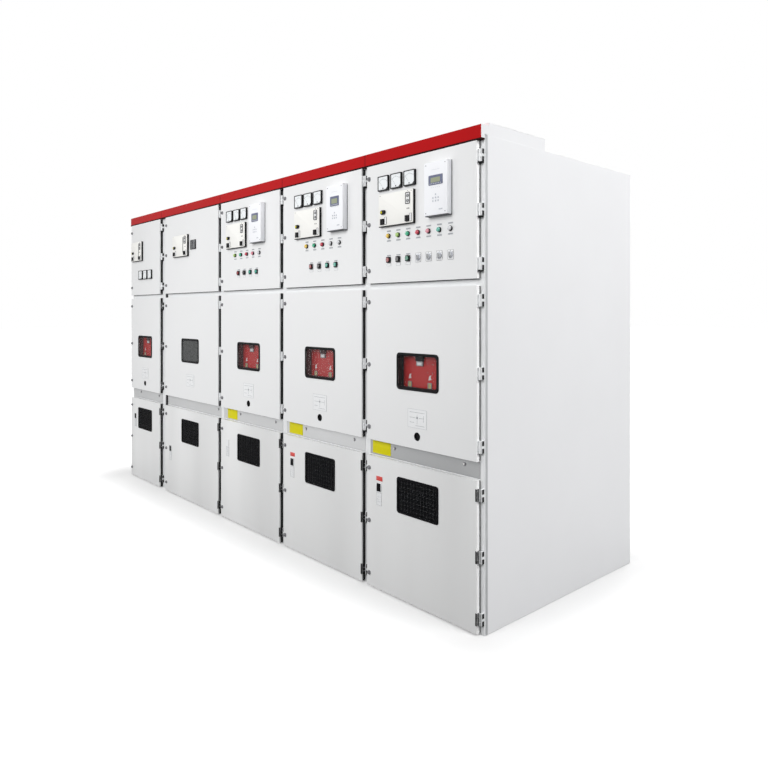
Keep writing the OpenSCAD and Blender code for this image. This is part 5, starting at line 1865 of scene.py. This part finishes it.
    def _roof_screws(self, screws: Shape) -> None:
        """Screw heads on the duct's lids and beside the relief flaps.

        Args:
            screws: The mesh that it goes into.
        """
        for panel in ROW.panels:
            left, right = ROW.left(panel), ROW.right(panel)
            for y in self.lid_rows:
                for x in (left + self.lid_inset, (left + right) / 2, right - self.lid_inset):
                    screws.at(x, y, ROW.duct_top).rod(self.roof_screw, -0.2, 0, ZINC_RAIL, 0.05, 14, Axis.Z)
            for y in self.flap_rows:
                for x in (left + self.flap_inset, right - self.flap_inset):
                    screws.at(x, y, ROW.height + 2).rod(self.roof_screw, 0, 3, ZINC_RAIL, 0.8, 14, Axis.Z)


@dataclass
class TruckTrim:
    """Details on the trucks' faces, seen through the door windows."""

    marker_places: Pair = (-90.0, 49.0)
    arrow: tuple[Pair, ...] = ((-10, -13), (11, -9), (3, 0), (9, 13), (-4, 8))
    screws: tuple[Pair, ...] = (
        (-118, 75), (-118, -104), (33, 40), (66, 40), (66, -2), (33, -2), (118, 75), (118, -104), (-60, 75),
    )

    def build(self) -> None:
        """Builds each truck's mechanism cover, marker plates, push flaps and screws."""
        for panel in ROW.truck_panels:
            trim = Shape(f"truck_face_trim_{panel}").at(ROW.door_middle(panel), ROW.truck_face, ROW.window_z)
            trim.block((-44, -11, 52), (10, 0, 106), BLACK_CASE, 2.0, 3)
            trim.block((-40, -8, 28), (6, 0, 51), HOUSING_GREY, 1.2)
            trim.block((-32, -8.6, 32), (-2, -7.8, 46), PLATE_WHITE, 0.3)
            for x in self.marker_places:
                flap = shifted(rounded(20, 22, 2), x, -66)
                trim.slab(shifted(self.arrow, x, -26), -1.2, 0, PLATE_WHITE)
                trim.ring(shifted(rounded(28, 30, 4), x, -66), flap, -4, 0, HOUSING_GREY, 0.6)
                trim.slab(flap, -1.8, 0, TARGET_YELLOW)
            for x, z in self.screws:
                with trim.aside(x, z):
                    trim.rod(3.2, -2.4, 0, LATCH_CHROME, 0.8, 14)
            trim.finish_on(f"truck_{panel}", "truck")


# ---------------------------------------------------------------- stage


@dataclass(frozen=True)
class Lamp:
    """A large soft lamp that points at the row's middle."""

    name: str
    place: Triple
    size: float
    power: float
    aim: Triple = (0.5, 0.0, 1.1)

    def add(self) -> None:
        """Adds the lamp to the scene, out of the camera's sight."""
        data = bpy.data.lights.new(self.name, "AREA")
        data.size = self.size
        data.energy = self.power
        lamp = bpy.data.objects.new(self.name, data)
        lamp.location = self.place
        lamp.visible_camera = False
        lamp.rotation_euler = (Vector(self.aim) - Vector(self.place)).to_track_quat("-Z", "Y").to_euler()
        bpy.context.scene.collection.objects.link(lamp)


@dataclass
class Studio:
    """Pale floor, soft lamps and the camera, in metres."""

    camera_place: Triple = (3.941, -2.956, 1.445)
    camera_turn: float = 47.82
    lens: float = 31.19
    shift: Pair = (-0.0073, -0.0930)
    world_light: float = 0.36
    floor_size: float = 120.0
    # The floor's own glow near the row's footprint, lowered there as a painted contact shadow; it rises to
    # the far value over the fade distances.
    floor_glow_in_painted_shadow: float = 0.26
    floor_far: float = 0.85
    floor_bounce: float = 0.12
    floor_matt: float = 0.62
    painted_shadow_fade: Pair = (0.05, 0.75)
    lamps: tuple[Lamp, ...] = (
        Lamp("key light", (1.4, -4.8, 3.5), 3.0, 151.0),
        Lamp("left light", (-1.8, -3.6, 1.5), 2.2, 42.0),
        Lamp("end light", (7.5, 0.5, 4.2), 3.5, 305.0),
        Lamp("left end light", (-7.5, 1.2, 3.6), 3.5, 130.0),
        Lamp("top light", (-0.5, 0.6, 7.5), 4.0, 95.0),
        Lamp("back light", (0.5, 6.5, 5.0), 4.0, 260.0),
    )

    def build(self) -> None:
        """Builds the stage and sets the colour management."""
        bpy.context.scene.view_settings.view_transform = "Standard"
        self._camera()
        self._world()
        self._floor()
        for lamp in self.lamps:
            lamp.add()

    def _camera(self) -> None:
        """Adds the camera at the photograph's viewpoint."""
        data = bpy.data.cameras.new("viewpoint")
        data.lens = self.lens
        data.sensor_width = 36.0
        data.sensor_fit = "AUTO"
        data.shift_x, data.shift_y = self.shift
        data.clip_end = 200.0
        camera = bpy.data.objects.new("viewpoint", data)
        camera.location = self.camera_place
        camera.rotation_euler = (math.radians(90), 0.0, math.radians(self.camera_turn))
        bpy.context.scene.collection.objects.link(camera)
        bpy.context.scene.camera = camera

    def _world(self) -> None:
        """White to the camera, softer as a light."""
        world = bpy.data.worlds.new("studio")
        bpy.context.scene.world = world
        world.use_nodes = True
        graph = Graph(world.node_tree)
        background = world.node_tree.nodes["Background"].inputs
        background["Color"].default_value = (1.0, 1.0, 1.0, 1.0)
        graph.feed(background["Strength"], graph.mix(self._seen(graph), self.world_light, 1.0))

    def _floor(self) -> None:
        """A wide floor that renders white and keeps the object's shadow, with its glow lowered near the row's
        footprint as a painted contact shadow.
        """
        bpy.ops.mesh.primitive_plane_add(size=self.floor_size, location=(0.0, 0.0, 0.0))
        floor = bpy.context.object
        floor.name = "studio_floor"
        material = bpy.data.materials.new("studio floor")
        material.use_nodes = True
        graph = Graph(material.node_tree)
        seen = self._seen(graph)
        inside = (ROW.length / 2 * MM, ROW.back * MM, FAR)
        beyond = graph.vector("SUBTRACT", graph.vector("ABSOLUTE", graph.place()), inside)
        beyond = graph.vector("MAXIMUM", beyond)
        away = graph.node("VectorMath", {0: beyond}, operation="LENGTH").outputs["Value"]
        start, end = self.painted_shadow_fade
        fade = {0: away, 1: start, 2: end, 3: self.floor_glow_in_painted_shadow, 4: self.floor_far}
        # Glow strength, lower near the footprint: a painted contact shadow.
        white = graph.node("MapRange", fade, interpolation_type="SMOOTHSTEP").outputs[0]
        glow = {"Color": (1.0, 1.0, 1.0, 1.0), "Strength": graph.math("MULTIPLY", seen, white)}
        shade = graph.blend(seen, (self.floor_bounce,) * 3, (self.floor_matt,) * 3)
        parts = (graph.node("Emission", glow), graph.node("BsdfDiffuse", {"Color": shade}))
        both = graph.node("AddShader", {i: part.outputs[0] for i, part in enumerate(parts)})
        graph.feed(material.node_tree.nodes["Material Output"].inputs["Surface"], both.outputs[0])
        floor.data.materials.append(material)

    @staticmethod
    def _seen(graph: Graph) -> bpy.types.NodeSocket:
        """1 for rays that show the background directly, in a gloss or through glass.

        Args:
            graph: Node tree that the nodes go into.

        Returns:
            The share's socket.
        """
        rays = graph.node("LightPath").outputs
        direct = graph.math("MAXIMUM", rays["Is Camera Ray"], rays["Is Transmission Ray"])
        return graph.math("MAXIMUM", direct, rays["Is Glossy Ray"])


def main() -> None:
    """Builds the looks around the frame, piece by piece."""
    logging.basicConfig(level=logging.INFO, format="%(name)s: %(message)s")
    Studio().build()
    FrameDressing(frame["nodes"]).dress()
    InstrumentBoards().build()
    DoorTrim().build()
    FrameTrim().build()
    TruckTrim().build()


if __name__ == "__main__":
    main()
